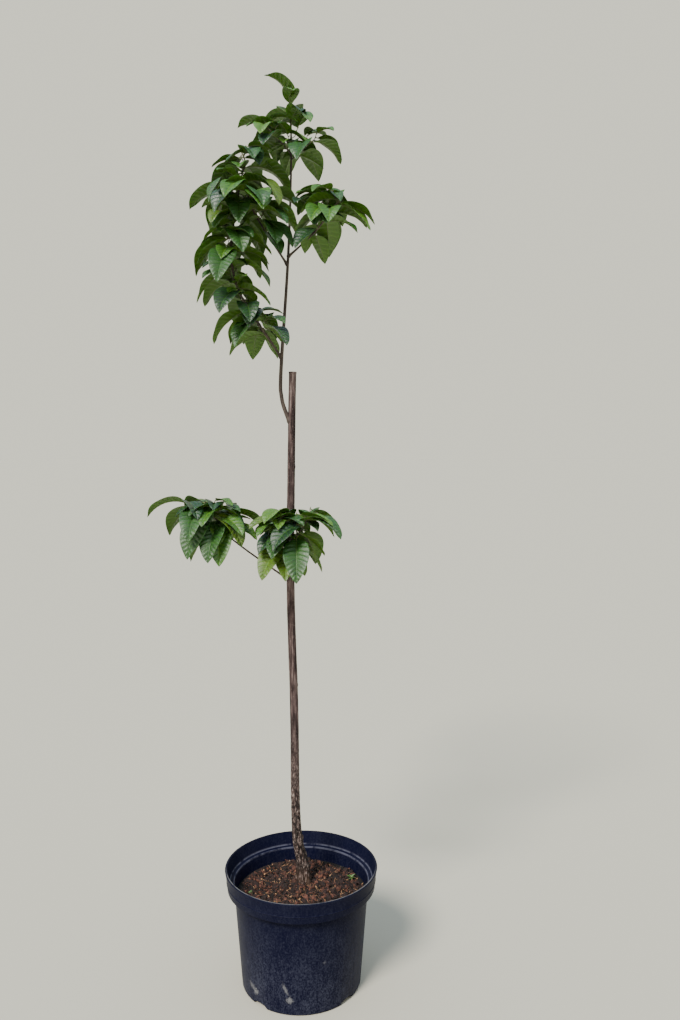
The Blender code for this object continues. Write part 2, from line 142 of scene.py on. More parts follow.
# Marks on the trunk: height above its foot and size in mm, and turn round it in degrees
KNOBS = [(860, 9, -60), (858, 7, 130), (338, 8, -35), (1010, 8, -50), (742, 6, 20),
         (520, 6, 200), (96, 10, -80), (212, 9, 150), (420, 5, -110), (930, 6, 160)]
KNOB_RISE = 0.28          # of a mark's size
KNOB_DIMPLE = 0.12        # of a mark's size, in its middle
ROUGH_HEIGHT = 265 * MM   # below this, above its foot, the bark is deeply cracked
TRUNK_SIDES = 72
TRUNK_STEP = 2.6 * MM
TRUNK_SUNK = 9 * MM       # how far the trunk goes on into the medium
CUT_LIP = 0.7 * MM        # of callus round the cut top
CUT_LIP_HEIGHT = 3 * MM
# Rings of the cut top: their share of its radius and their height in mm
CUT_RINGS = ((0.93, 0.5), (0.84, 0.1), (0.78, -0.8), (0.45, -0.9), (0.12, -1.1))
CUT_DEPTH = 1.6 * MM

# The masses of foliage, which are the nodes of these names after "foliage_": a bough's
# line, the fraction where the mass begins, and its side twigs
Mass = namedtuple("Mass", "stem start twigs")
MASSES = {
    "top": Mass("leader", 0.80, ["top_left", "top_right"]),
    "left": Mass("left", 0.09, []),
    "centre": Mass("centre", 0.42, []),
    "right": Mass("right", 0.36, ["right_up"]),
    "low_left": Mass("low_left", 0.58, ["low_left_up"]),
    "low_front": Mass("low_front", 0.40, ["low_front_up"]),
}

# The leaves, twig by twig: the stretch of the line that bears them as fractions, how many,
# their lengths in mm at its start, middle and end, the rise of the last one and the compass
# turn of the first in degrees, and the seed of their spread
Spray = namedtuple("Spray", "mass twig first last leaves lengths lift turn seed")
SPRAYS = [
    Spray("top", "leader", 0.86, 0.995, 7, (55, 80, 105), 85, 120, 9),
    Spray("top", "top_left", 0.35, 0.97, 5, (55, 85, 85), 40, 350, 91),
    Spray("top", "top_right", 0.35, 0.97, 4, (60, 95, 90), 20, 340, 785),
    Spray("left", "left", 0.13, 0.40, 11, (85, 98, 95), 10, 200, 15),
    Spray("left", "left", 0.44, 0.67, 10, (85, 108, 90), 10, 60, 84),
    Spray("left", "left", 0.69, 0.98, 12, (90, 118, 80), 15, 340, 961),
    Spray("left", "left", 0.71, 0.75, 2, (108, 110, 112), 30, 15, 350),
    Spray("centre", "centre", 0.46, 0.98, 13, (85, 105, 95), 20, 300, 985),
    Spray("right", "right", 0.50, 0.98, 7, (75, 98, 90), 20, 60, 540),
    Spray("right", "right_up", 0.35, 0.97, 4, (55, 80, 75), 20, 140, 900),
    Spray("low_left", "low_left", 0.64, 0.98, 11, (90, 118, 90), 15, 30, 759),
    Spray("low_left", "low_left_up", 0.50, 0.97, 4, (80, 108, 68), 20, 130, 588),
    Spray("low_front", "low_front", 0.50, 0.98, 9, (85, 98, 75), 30, 300, 813),
    Spray("low_front", "low_front_up", 0.35, 0.97, 6, (90, 110, 90), 10, 150, 545),
]
BASE_RISE = -12           # degrees, as are the spreads: the rise of a spray's first leaf
RISE_SPREAD = 24
TURN_SPREAD = 28
ROLL_SPREAD = 14
SIZE_SPREAD = (0.84, 1.04)

# One leaf
GOLDEN_ANGLE = math.radians(137.5)
PETIOLE = 0.10            # of the leaf's length
ASPECT = 0.46             # width of the blade over the leaf's length
FOLD = math.radians(18)
DROOP = math.radians(0.72) / MM    # how much more a blade bends, the longer its leaf is
ERECT = 0.3               # how much less an upright leaf bends
LEAST_BEND = 0.25         # radians
BASE_POWER = 0.75         # how bluntly the blade opens at its base
TIP_POWER = 1.15          # how finely it ends at its tip
WIDEST = BASE_POWER / (BASE_POWER + TIP_POWER)
FULLNESS = 1 / (WIDEST**BASE_POWER * (1 - WIDEST) ** TIP_POWER)

# Clearance between leaves and what stands near them
ROOM = 10 * MM
OWN_ROOM = 6 * MM
NUDGES = [math.radians(turn) for turn in (0, 12, -12, 24, -24, 36, -36)]
LIMB_PROBE = 6 * MM
PROBE_S = np.linspace(0.3, 1, 6)[:, None]
PROBE_T = np.linspace(-0.9, 0.9, 5)[None, :]
BEND_STEPS = 8

# The finish of a leaf
VEIN_SPACING = 9 * MM     # between side veins along the midrib
VEIN_SWEEP = 0.55         # how far the side veins lean to the tip
VEIN_ROWS = (0, 0.12, 0.4, 0.7)    # rows of the blade from one side vein to the next
HALF_COLUMNS = (0.045, 0.17, 0.34, 0.54, 0.75, 0.94, 1)
FEW_COLUMNS = (0.06, 0.32, 0.65, 0.93, 1)    # on the small leaves
QUILT = 0.021             # height of the swellings between veins, of the leaf's length
MIDRIB_SINK = 0.35 * MM
FULLER = 1.07             # width of a finished blade over that of the part's plain one
ROUNDER = 0.80            # power that rounds the finished blade's shoulders
EDGE_WAVE = 0.014         # of the leaf's length
BLADE_THICKNESS = 0.45 * MM
EDGE_THICKNESS = 0.16 * MM
STALK_RADIUS = 0.95 * MM
STALK_LEAF = 90 * MM      # length of a leaf whose stalk has that radius
STALK_SIDES = 7
RIB_TIP_RADIUS = 0.22 * MM
BUD_LENGTH = 3.6 * MM
BUD_RADIUS = 1.0 * MM
NODE_SWELL = 0.35
NODE_LENGTH = 2.2 * MM
TWIG_STEP = 2 * MM
TWIG_SIDES = 10
TWIG_YOUTH = (0.8, 1.05)  # the fractions between which a twig turns green
PAST_LEAF = 0.02          # how far a twig goes on past its last leaf, as a fraction
BUD_SIZES = (0.75, 1.15)
TIP_BUD = 0.8

# The finest shoots, from the axils of some leaves
SHOOT_SHARE = 0.6         # of the leaves have one
SHOOT_LENGTH = (18, 42)   # mm
SHOOT_LEAVES = (2, 4)
SHOOT_LEAF = (50, 92)     # mm
SHOOT_THICKNESS = (1.7, 1.1)
SHOOT_SIDES = 6
SHOOT_YOUTH = (0.35, 1.2)
SHOOT_BUD = 0.6
SHOOT_ROOM = 3 * MM
SHOOT_BENDS = ((0.35, 0.3), (0.55, 0.83))    # how far out and up, of its length
SHOOT_SPRAY = (0.55, 0.98)    # the stretch of it that bears leaves
SHOOT_LIFT = 35           # degrees
SHOOT_SEEDS = {"top": 906, "left": 265, "centre": 36,
               "right": 208, "low_left": 594, "low_front": 396}

# Name of the mesh attribute that is 0 on old bark and 1 on this year's green shoots
YOUTH = "youth"

# What the leaves' looks are dealt from, with their shares
LOOK_SEED = 12
# The greens are partly the leaves' own tones and partly painted light: fresh and olive are painted
# sun shining through the blade, deep is painted shade
LEAF_LOOKS = (["leaf_deep", "leaf_mid", "leaf_fresh", "leaf_olive"], [34, 36, 19, 11])
SMALL_LOOKS = (["leaf_young", "leaf_fresh", "leaf_mid", "leaf_deep"], [18, 30, 32, 20])
DARK_LOOKS = ("leaf_deep", "leaf_mid")    # whose veins are drawn in the darker of two greens

# Litter on the medium: name, look, size of one in mm, how many on a square centimetre,
# the spread of their scale, and their tilt in degrees
LITTER = [
    ("chips_dark", "chip_dark", (10, 6, 3), 1.2, (0.5, 1.4), 60),
    ("chips_rust", "chip_rust", (9.5, 5, 2.6), 1.7, (0.45, 1.4), 65),
    ("chips_tan", "chip_tan", (8, 3, 1.6), 0.75, (0.4, 1.4), 65),
    ("chunks", "chip_rust", (16, 10, 7), 0.36, (0.6, 1.25), 70),
    ("chunks_dark", "chip_dark", (16, 11, 7.5), 0.45, (0.6, 1.25), 70),
    ("splinters", "chip_rust", (14, 2.1, 1.4), 0.8, (0.5, 1.3), 45),
    ("splinters_dark", "chip_dark", (15, 2.4, 1.6), 0.9, (0.5, 1.3), 45),
    ("splinters_tan", "chip_tan", (12, 1.6, 1.1), 0.55, (0.5, 1.3), 45),
    ("flecks", "chip_pale", (3.2, 2.2, 1.3), 0.12, (0.4, 1.3), 60),
    ("coir", "chip_tan", (20,), 0.35, (0.5, 1.2), 35),
]
CHIP_OVERHANG = 2 * MM    # how far litter may reach into the pot's wall
# Seedlings: place on the medium in mm, leaves, their length in mm, seed
WEEDS = [((102, 45), 9, 13, 4), ((-104, -15), 6, 10, 8)]

# Scraped patches on the pot: place and half sizes in metres, lean in radians, and strength
SCUFFS = [
    ((-0.0925, -0.082, 0.036), (0.0070, 0.018, 0.0125), 0.95, 0.30),
    ((-0.0850, -0.088, 0.029), (0.0062, 0.016, 0.0085), -0.35, 0.46),
    ((-0.026, -0.122, 0.055), (0.0044, 0.014, 0.0150), 0.45, 0.34),
    ((-0.018, -0.122, 0.033), (0.0082, 0.014, 0.0078), -0.3, 0.46),
    ((0.049, -0.120, 0.107), (0.0040, 0.012, 0.0040), 0, 0.20),
]

# Camera and light
FLOOR_RADIUS = 60
FLOOR_SIDES = 96
SKY = (1.0, 0.985, 0.82)  # of the sky near the horizon
ZENITH = (0.50, 0.70, 0.95)
ZENITH_FROM = 0.5         # the sine of the height at which the sky begins to turn blue
ZENITH_WHOLE = 0.8
KEY_FROM = (-1.45, -2.5, 2.9)
KEY_STRENGTH = 5.2
KEY_SPREAD = math.radians(18)
KEY_TINT = (1.0, 0.96, 0.88)
LENS = 30
CAMERA_PLACE = (0.079, -1.677, 1.097)
CAMERA_TILT = math.radians(85.6)


# ---------------- materials

class Field:
    """A socket of a material under way, on which Python's operators do the maths."""

    def __init__(self, look, socket):
        self.look = look
        self.socket = socket

    def maths(self, operation, *values):
        return self.look.node("ShaderNodeMath", {"operation": operation}, dict(enumerate(values)))

    def __add__(self, other):
        return self.maths("ADD", self, other)

    def __mul__(self, other):
        return self.maths("MULTIPLY", self, other)

    def __sub__(self, other):
        return self.maths("SUBTRACT", self, other)

    def __rsub__(self, other):
        return self.maths("SUBTRACT", other, self)

    __radd__ = __add__
    __rmul__ = __mul__


class Tree:
    """A node tree under way, to which node() adds every node."""

    def __init__(self, tree):
        self.tree = tree

    def feed(self, socket, value):
        if isinstance(value, Field):
            self.tree.links.new(value.socket, socket)
        elif isinstance(value, tuple) and len(value) < len(socket.default_value):
            socket.default_value = (*value, 1)
        else:
            socket.default_value = value

    def node(self, kind, settings=None, sockets=None, output=0):
        made = self.tree.nodes.new(kind)
        for key, value in (settings or {}).items():
            if key == "stops":
                ramp = made.color_ramp
                ramp.elements[0].position, ramp.elements[1].position = value[0][0], value[-1][0]
                for place, _ in value[1:-1]:
                    ramp.elements.new(place)
                for element, (_, colour) in zip(ramp.elements, value):
                    element.color = (*colour, 1)
            else:
                setattr(made, key, value)
        for key, value in (sockets or {}).items():
            self.feed(made.inputs[key], value)
        return Field(self, made.outputs[output] if made.outputs else None)

    def vector(self, operation, first, second=None):
        sockets = {0: first} if second is None else {0: first, 1: second}
        output = 1 if operation == "LENGTH" else 0
        return self.node("ShaderNodeVectorMath", {"operation": operation}, sockets, output)


class Look(Tree):
    """A material under way, with the patterns that this tree's surfaces share."""

    def __init__(self, name, roughness, shine=0.5, coat=0.0):
        self.material = bpy.data.materials.new(name)
        self.material.use_nodes = True
        super().__init__(self.material.node_tree)
        self.shader = self.tree.nodes["Principled BSDF"]
        self.set("Roughness", roughness)
        self.set("Specular IOR Level", shine)
        self.set("Coat Weight", coat)
        self.set("Coat Roughness", 0.3)

    def set(self, name, value):
        self.feed(self.shader.inputs[name], value)

    def place(self, upright=1.0):
        """Object coordinates with Z scaled, so that a small factor draws a pattern out upright."""
        return self.vector("MULTIPLY", self.node("ShaderNodeTexCoord", output=3), (1, 1, upright))

    def along(self, axis):
        return self.node("ShaderNodeSeparateXYZ", sockets={0: self.place()}, output=axis)

    def height(self):
        return self.along(2)

    def noise(self, scale, detail=4.0, roughness=0.55, upright=1.0):
        return self.node("ShaderNodeTexNoise", sockets={
            "Vector": self.place(upright), "Scale": scale,
            "Detail": detail, "Roughness": roughness})

    def cells(self, scale, upright=1.0, feature="F1"):
        return self.node("ShaderNodeTexVoronoi", {"feature": feature}, {
            "Vector": self.place(upright), "Scale": scale})

    def ease(self, value, low, high):
        """0 below low, 1 above high, and smooth between; low may be above high."""
        return self.node("ShaderNodeMapRange", {"interpolation_type": "SMOOTHSTEP"}, {
            0: value, 1: low, 2: high, 3: 0.0, 4: 1.0})

    def mix(self, factor, first, second):
        sockets = {0: factor, 6: first, 7: second}
        return self.node("ShaderNodeMix", {"data_type": "RGBA"}, sockets, 2)

    def paint(self, factor, first, second):
        self.set("Base Color", self.mix(factor, first, second))

    def ramp(self, factor, *stops):
        return self.node("ShaderNodeValToRGB", {"stops": stops}, {0: factor})

    def bump(self, height, depth, strength=1.0):
        self.set("Normal", self.node("ShaderNodeBump", sockets={
            "Strength": strength, "Distance": depth, "Height": height}))


def let_light_through(look):
    """Light scatters through the blade, and most of it comes out yellow-green."""
    look.set("Subsurface Weight", 0.35)
    look.set("Subsurface Radius", (0.5, 1.0, 0.12))
    look.set("Subsurface Scale", 0.7 * MM)


def leaf_look(name, colour, shade, roughness):
    """A glossy upper face: one plain green with faint mottling, and fine netted veins."""
    look = Look(name, roughness, shine=0.75, coat=0.05)
    let_light_through(look)
    look.paint(look.ease(look.noise(90, 3), 0.35, 0.7), colour, shade)
    net = look.cells(520, feature="DISTANCE_TO_EDGE")
    look.bump(look.ease(net, 0, 0.25) * 0.3 + look.noise(230, 3), 0.6 * MM, 0.7)


def under_look():
    look = Look("leaf_underside", 0.55)
    let_light_through(look)
    # The underside's own pale green, made a bright saturated yellow-green as painted light shining
    # through the blade
    look.paint(look.noise(80, 2), (0.050, 0.124, 0.009), (0.082, 0.172, 0.013))
    look.bump(look.noise(500, 3), 0.2 * MM, 0.5)


def stalk_look(name, colour, shade):
    look = Look(name, 0.5)
    look.paint(look.noise(160, 2), colour, shade)
    look.bump(look.noise(600, 3, upright=0.3), 0.15 * MM, 0.6)


def trunk_look():
    """Purplish brown bark in fine ridges, cracked and flecked with pale scales low down; the cracks
    are darkened with painted shade.
    """
    look = Look("trunk_bark", 0.85, shine=0.25)
    rough_top = SOIL_LEVEL + ROUGH_HEIGHT
    low = look.ease(look.height(), rough_top + 0.10, rough_top - 0.14)
    ridges = look.noise(210, 4, 0.6, upright=0.10)
    lines = look.noise(420, 3, 0.6, upright=0.05)
    patches = look.noise(60, 3, 0.6, upright=0.30)
    blend = ridges * 0.4 + lines * 0.3 + patches * 0.3
    tint = look.ramp(blend, (0.42, (0.010, 0.005, 0.006)), (0.49, (0.042, 0.025, 0.025)),
                     (0.55, (0.100, 0.067, 0.065)), (0.61, (0.21, 0.155, 0.148)))
    plates = look.cells(105, upright=0.34, feature="DISTANCE_TO_EDGE")
    crack = look.ease(plates + look.noise(90, 2) * 0.22, 0.27, 0.14)
    scale = look.noise(330, 4, 0.65, upright=0.45)
    rough = look.ramp(scale, (0.38, (0.018, 0.010, 0.009)), (0.48, (0.064, 0.042, 0.038)),
                      (0.56, (0.165, 0.122, 0.112)), (0.66, (0.36, 0.29, 0.265)))
    tint = look.mix(low, tint, rough)
    # Cracks drawn near black, mostly low down: dark bark in the fissures, with painted shade in
    # them
    tint = look.mix(crack * (low * 0.75 + 0.15), tint, (0.006, 0.004, 0.004))
    pores = look.ease(look.noise(380, 2, 0.5, upright=1.6), 0.64, 0.72)
    tint = look.mix(pores * 0.5, tint, (0.32, 0.26, 0.23))
    dust = look.ease(look.height(), SOIL_LEVEL + 0.05, SOIL_LEVEL) * look.noise(120, 3)
    look.paint(dust, tint, (0.075, 0.042, 0.027))
    look.bump(ridges * 0.7 + scale * (0.25 + low * 0.7) - crack * low * 0.8, 1.2 * MM, 0.8)


def bough_look():
    """Thin bark with lengthwise streaks and pale pores, which turns green where it is young."""
    look = Look("bough_bark", 0.68)
    streak = look.noise(120, 5, 0.6, upright=0.25)
    tint = look.ramp(streak, (0.32, (0.020, 0.012, 0.010)), (0.5, (0.048, 0.031, 0.025)),
                     (0.7, (0.105, 0.078, 0.060)))
    pores = look.ease(look.cells(330), 0.22, 0.12)
    tint = look.mix(pores * 0.45, tint, (0.26, 0.21, 0.16))
    youth = look.node("ShaderNodeAttribute", {"attribute_name": YOUTH}, output=2)
    green = look.mix(look.noise(150, 3), (0.060, 0.085, 0.024), (0.115, 0.135, 0.045))
    look.paint(look.ease(youth, 0.2, 0.9), tint, green)
    look.bump(streak + pores * 0.8, 0.4 * MM, 0.7)


def cut_wood_look():
    """The weathered end grain of the cut top: rings round the trunk's middle."""
    look = Look("cut_wood", 0.8)
    middle = tuple(MM * value for value in LIMBS["trunk"].bends[-1])
    out = look.vector("LENGTH", look.vector("SUBTRACT", look.place(), middle))
    wave = out.maths("SINE", out * 5200 + look.noise(160, 3) * 5)
    tint = look.ramp(wave * 0.5 + 0.5, (0.0, (0.16, 0.10, 0.06)), (1.0, (0.36, 0.26, 0.17)))
    look.paint(look.ease(look.noise(200, 4), 0.5, 0.75), tint, (0.09, 0.07, 0.06))
    look.bump(wave * 0.4 + look.noise(500, 4), 0.3 * MM, 0.7)


def pot_look():
    """Blue-black moulded plastic: dusty low down, scuffed, and pale along its edges, part wear,
    part painted highlight.
    """
    look = Look("moulded_plastic", 0.5, shine=0.045)
    height = look.height()
    out = look.vector("LENGTH", look.place(0))
    streaks = look.noise(150, 5, 0.75, upright=0.32)
    specks = look.noise(380, 4, 0.8, upright=0.7)
    haze = look.noise(17, 3, 0.6)
    dust = look.ease(streaks * 0.25 + specks * 0.6 + haze * 0.15, 0.42, 0.66)
    dust = dust * (look.ease(height, 0.24, 0.0) * 0.55 + 0.16)
    tint = look.mix(dust, (0.0026, 0.0032, 0.0160), (0.064, 0.069, 0.106))
    ledge = look.ease(height, LEDGE_HEIGHT + 5 * MM, LEDGE_HEIGHT + 2 * MM)
    edges = 0
    for edge in (BODY_TOP_RADIUS, COLLAR_FOOT_RADIUS - 2 * POT_WALL):
        away = out.maths("ABSOLUTE", out - edge)
        edges = edges + look.ease(away, 1.6 * MM, 0.8 * MM)
    wear_and_highlight_patches = look.ease(look.noise(60, 4), 0.30, 0.55)
    ledge = ledge * look.ease(height, LEDGE_HEIGHT - 4 * MM, LEDGE_HEIGHT - 2 * MM)
    # Pale bluish lines along the inside ledge's edges: painted highlight, broken up in patches
    tint = look.mix(edges * ledge * wear_and_highlight_patches * 0.6, tint, (0.115, 0.118, 0.165))
    # Pale line on the front half of the lip only: painted highlight, with some pale wear
    front = look.ease(look.along(1), 0.0, -0.07)
    lip = look.ease(height, POT_HEIGHT - 1.4 * MM, POT_HEIGHT - 0.6 * MM)
    lip = lip * look.ease(out, RIM_RADIUS - 1.5 * MM, RIM_RADIUS - 2.5 * MM)
    tint = look.mix(lip * front * (wear_and_highlight_patches * 0.3 + 0.2), tint, (0.24, 0.235, 0.23))
    marks = 0
    for place, size, turn, strength in SCUFFS:
        marks = marks + scuff(look, place, size, turn) * strength
    look.paint(marks, tint, (0.30, 0.30, 0.31))
    look.set("Roughness", dust * 0.3 + marks * 0.4 + 0.42)
    look.bump(specks * 0.6 + streaks * 0.4, 0.35 * MM, 0.35)


def scuff(look, place, size, turn):
    """1 in a scraped patch of the plastic about a place, 0 elsewhere, with a ragged edge."""
    away = look.vector("SUBTRACT", look.place(), place)
    away = look.node("ShaderNodeVectorRotate", {"rotation_type": "Y_AXIS"}, {
        "Vector": away, "Angle": turn})
    far = look.vector("LENGTH", look.vector("DIVIDE", away, size))
    return look.ease(far + look.noise(330, 4, 0.8, upright=0.7) * 3.0, 2.6, 1.7)


def soil_look():
    look = Look("growing_medium", 0.95)
    crumbs = look.noise(190, 6, 0.7)
    # The medium's own dark brown, painted near black so that the gaps between the chips show as
    # painted shade
    look.set("Base Color", look.ramp(crumbs, (0.42, (0.001, 0.0004, 0.0003)),
                                     (0.58, (0.005, 0.0018, 0.0013)),
                                     (0.72, (0.045, 0.016, 0.010))))
    look.bump(crumbs, 2 * MM)


def chip_look(name, dark, pale):
    look = Look(name, 0.88)
    look.paint(look.ease(look.noise(210, 4, 0.65), 0.35, 0.65), dark, pale)
    look.bump(look.noise(700, 4, 0.7), 0.5 * MM, 0.8)


def make_looks():
    """Every material, found afterwards by its name."""
    # Leaf greens, partly their own tones and partly painted light: the backlit ones painted sun
    # through the blade, the shaded one painted shade
    leaf_look("leaf_deep", (0.0044, 0.031, 0.0080), (0.0082, 0.047, 0.0095), 0.43)
    leaf_look("leaf_mid", (0.0130, 0.062, 0.0070), (0.0220, 0.092, 0.0090), 0.45)
    leaf_look("leaf_fresh", (0.0330, 0.110, 0.0070), (0.0480, 0.146, 0.0090), 0.46)
    leaf_look("leaf_olive", (0.0620, 0.118, 0.0050), (0.0860, 0.150, 0.0070), 0.47)
    leaf_look("leaf_young", (0.0640, 0.160, 0.0140), (0.0920, 0.200, 0.0200), 0.46)
    stalk_look("leaf_vein", (0.022, 0.075, 0.010), (0.034, 0.095, 0.014))
    stalk_look("leaf_rib", (0.065, 0.155, 0.010), (0.090, 0.190, 0.016))
    under_look()
    stalk_look("petiole", (0.085, 0.130, 0.035), (0.135, 0.165, 0.050))
    stalk_look("bud_scale", (0.075, 0.070, 0.028), (0.140, 0.105, 0.050))
    trunk_look()
    bough_look()
    cut_wood_look()
    pot_look()
    soil_look()
    chip_look("chip_dark", (0.003, 0.0015, 0.001), (0.026, 0.0085, 0.006))
    chip_look("chip_rust", (0.009, 0.0030, 0.0022), (0.132, 0.046, 0.027))
    chip_look("chip_tan", (0.070, 0.030, 0.015), (0.420, 0.235, 0.120))
    chip_look("chip_pale", (0.260, 0.200, 0.140), (0.480, 0.400, 0.300))
    leaf_look("weed_leaf", (0.050, 0.110, 0.022), (0.085, 0.155, 0.038), 0.5)


# ---------------- meshes from grids of points

def level(angle):
    """The unit vector along the ground at an angle round from +X."""
    return np.array([math.cos(angle), math.sin(angle), 0])


def circle(out, sides):
    return [tuple(out * level(math.tau * k / sides)[:2]) for k in range(sides)]


def rings(line, radii, sides):
    """Rings of points round a line, with a radius for each ring, or for each point of each ring."""
    ahead = np.gradient(line, axis=0)
    ahead /= np.linalg.norm(ahead, axis=1)[:, None]
    side = np.cross(ahead[0], ASKEW)
    sides_at = []
    for way in ahead:
        side = side - way * (side @ way)
        side = side / np.linalg.norm(side)
        sides_at.append(side)
    across = np.array(sides_at)
    up = np.cross(ahead, across)
    angle = np.arange(sides) * math.tau / sides
    radii = np.broadcast_to(np.asarray(radii, float).reshape(len(line), -1), (len(line), sides))
    spokes = across[:, None] * np.cos(angle)[:, None] + up[:, None] * np.sin(angle)[:, None]
    return line[:, None] + spokes * radii[..., None]


class Shape:
    """Points and faces gathered from many grids, then made into one mesh."""

    def __init__(self):
        self.points = []
        self.youth = []
        self.faces = []
        self.looks = []
        self.count = 0

    def add_points(self, points, youth=0.0):
        points = np.asarray(points, float)
        ids = self.count + np.arange(points.size // 3).reshape(points.shape[:-1])
        self.points.append(points.reshape(-1, 3))
        self.youth.append(np.broadcast_to(youth, ids.T.shape).T.ravel())
        self.count += ids.size
        return ids

    def skin(self, ids, look, turned=False):
        """Quads over a grid of point numbers, whose last column joins its first.

        A quad splits into triangles from its first corner, or where turned from the next.
        """
        ids = np.hstack([ids, ids[:, :1]])
        quads = np.stack([ids[:-1, :-1], ids[:-1, 1:], ids[1:, 1:], ids[1:, :-1]], axis=-1)
        turned = np.broadcast_to(turned, quads.shape[:2])[..., None]
        quads = np.where(turned, np.roll(quads, -1, axis=-1), quads)
        self.faces += quads.reshape(-1, 4).tolist()
        self.looks += np.broadcast_to(look, quads.shape[:2]).ravel().tolist()

    def cap(self, ring, centre, look, youth=0.0):
        """A fan over a ring of point numbers, which run anticlockwise as seen from outside."""
        middle = int(self.add_points(centre[None], youth)[0])
        self.faces += [[middle, int(a), int(b)] for a, b in zip(ring, np.roll(ring, -1))]
        self.looks += [look] * len(ring)

    def solid(self, grid, ends, look, end_look=None, youth=0.0, turned=False):
        """A closed solid of rings, with a fan at each end about the middle given for it."""
        youth = np.broadcast_to(youth, len(grid))
        ids = self.add_points(grid, youth)
        self.skin(ids, look, turned=turned)
        self.cap(ids[0][::-1], ends[0], end_look or look, youth[0])
        self.cap(ids[-1], ends[1], end_look or look, youth[-1])

    def tube(self, line, radii, sides, look, youth=0.0):
        self.solid(rings(line, radii, sides), (line[0], line[-1]), look, youth=youth)

    def piece(self, name, slot=None, *nodes):
        """The mesh as an object; one that is given a slot rides with the part, in place of the
        nodes.
        """
        mesh = make_mesh(name, np.vstack(self.points).tolist(), [], self.faces)
        used = sorted(set(self.looks))
        for look in used:
            mesh.materials.append(bpy.data.materials[look])
        mesh.polygons.foreach_set("material_index", [used.index(look) for look in self.looks])
        attribute = mesh.attributes.new(YOUTH, "FLOAT", "POINT")
        attribute.data.foreach_set("value", np.concatenate(self.youth).astype(np.float32))
        mesh.shade_smooth()
        made = place_object(name, mesh)
        if slot:
            finish_piece(made, slot, *nodes)
        return made


def make_mesh(name, points, edges, faces):
    mesh = bpy.data.meshes.new(name)
    mesh.from_pydata(points, edges, faces)
    return mesh


def place_object(name, data):
    made = bpy.data.objects.new(name, data)
    bpy.context.scene.collection.objects.link(made)
    return made


def finish_piece(made, slot, *nodes):
    """Make an object ride with the part, in place of the nodes; the slot is not used."""
    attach(made, "root")
    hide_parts(*nodes)


def modify(obj, kind, **settings):
    modifier = obj.modifiers.new(kind.title(), kind)
    for key, value in settings.items():
        setattr(modifier, key, value)
    return modifier


def baked(obj):
    """The object's mesh with its modifiers applied."""
    bpy.context.view_layer.update()
    return bpy.data.meshes.new_from_object(obj.evaluated_get(bpy.context.evaluated_depsgraph_get()))


def drop(obj):
    bpy.data.objects.remove(obj, do_unlink=True)


# ---------------- lines of the limbs

class Route:
    """A smooth line through a limb's bends, read by the fraction of its length."""

    def __init__(self, bends):
        p = np.array(bends, float) * MM
        p = np.vstack([2 * p[0] - p[1], p, 2 * p[-1] - p[-2]])
        t = np.linspace(0, 1, BEND_STEPS, endpoint=False)[:, None]
        arcs = [self.arc(a, b, c, d, t) for a, b, c, d in zip(p, p[1:], p[2:], p[3:])]
        self.points = np.vstack(arcs + [p[-2]])
        steps = np.linalg.norm(np.diff(self.points, axis=0), axis=1)
        self.run = np.concatenate([[0], np.cumsum(steps)])
        self.length = self.run[-1]

    @staticmethod
    def arc(a, b, c, d, t):
        """Catmull-Rom curve from b to c."""
        return 0.5 * (2 * b + (c - a) * t + (2 * a - 5 * b + 4 * c - d) * t**2
                      + (3 * b - a - 3 * c + d) * t**3)

    def at(self, fraction):
        far = np.asarray(fraction) * self.length
        return np.stack([np.interp(far, self.run, self.points[:, k]) for k in range(3)], axis=-1)


ROUTES = {name: Route(limb.bends) for name, limb in LIMBS.items()}


def radius(name, fraction):
    first, last = LIMBS[name].thickness
    return (first + (last - first) * fraction) / 2 * MM


def trunk_radius(fraction):
    """An even taper above, and a flare that dies away above the ground."""
    first, last = (thickness / 2 * MM for thickness in LIMBS["trunk"].thickness)
    high = fraction * ROUTES["trunk"].length
    flare = (first - TRUNK_WAIST) * np.exp(-high / FLARE_HEIGHT)
    return TRUNK_WAIST + (last - TRUNK_WAIST) * fraction + flare


# ---------------- the rule by which leaves grow

Leaf = namedtuple("Leaf", "foot heading rise length roll twig at")


def axes(heading, pitch):
    """Unit vectors along a leaf, to its right, and out of its upper face."""
    ch, sh = math.cos(heading), math.sin(heading)
    cp, sp = np.cos(pitch), np.sin(pitch)
    none = np.zeros_like(cp)
    along = np.stack([ch * cp, sh * cp, sp], axis=-1)
    right = np.stack([sh + none, -ch + none, none], axis=-1)
    face = np.stack([-ch * sp, -sh * sp, cp], axis=-1)
    return along, right, face


def half_width(leaf, s):
    """Half the blade's width: round near the base, then a long tapering tip."""
    shape = FULLNESS * np.abs(s) ** BASE_POWER * np.abs(1 - s) ** TIP_POWER
    return shape * ASPECT * leaf.length / 2


def full_width(leaf, s):
    """Half the width of a finished blade, which has rounder shoulders than the plain one."""
    widest = ASPECT * leaf.length / 2
    return FULLER * widest * (half_width(leaf, s) / widest) ** ROUNDER


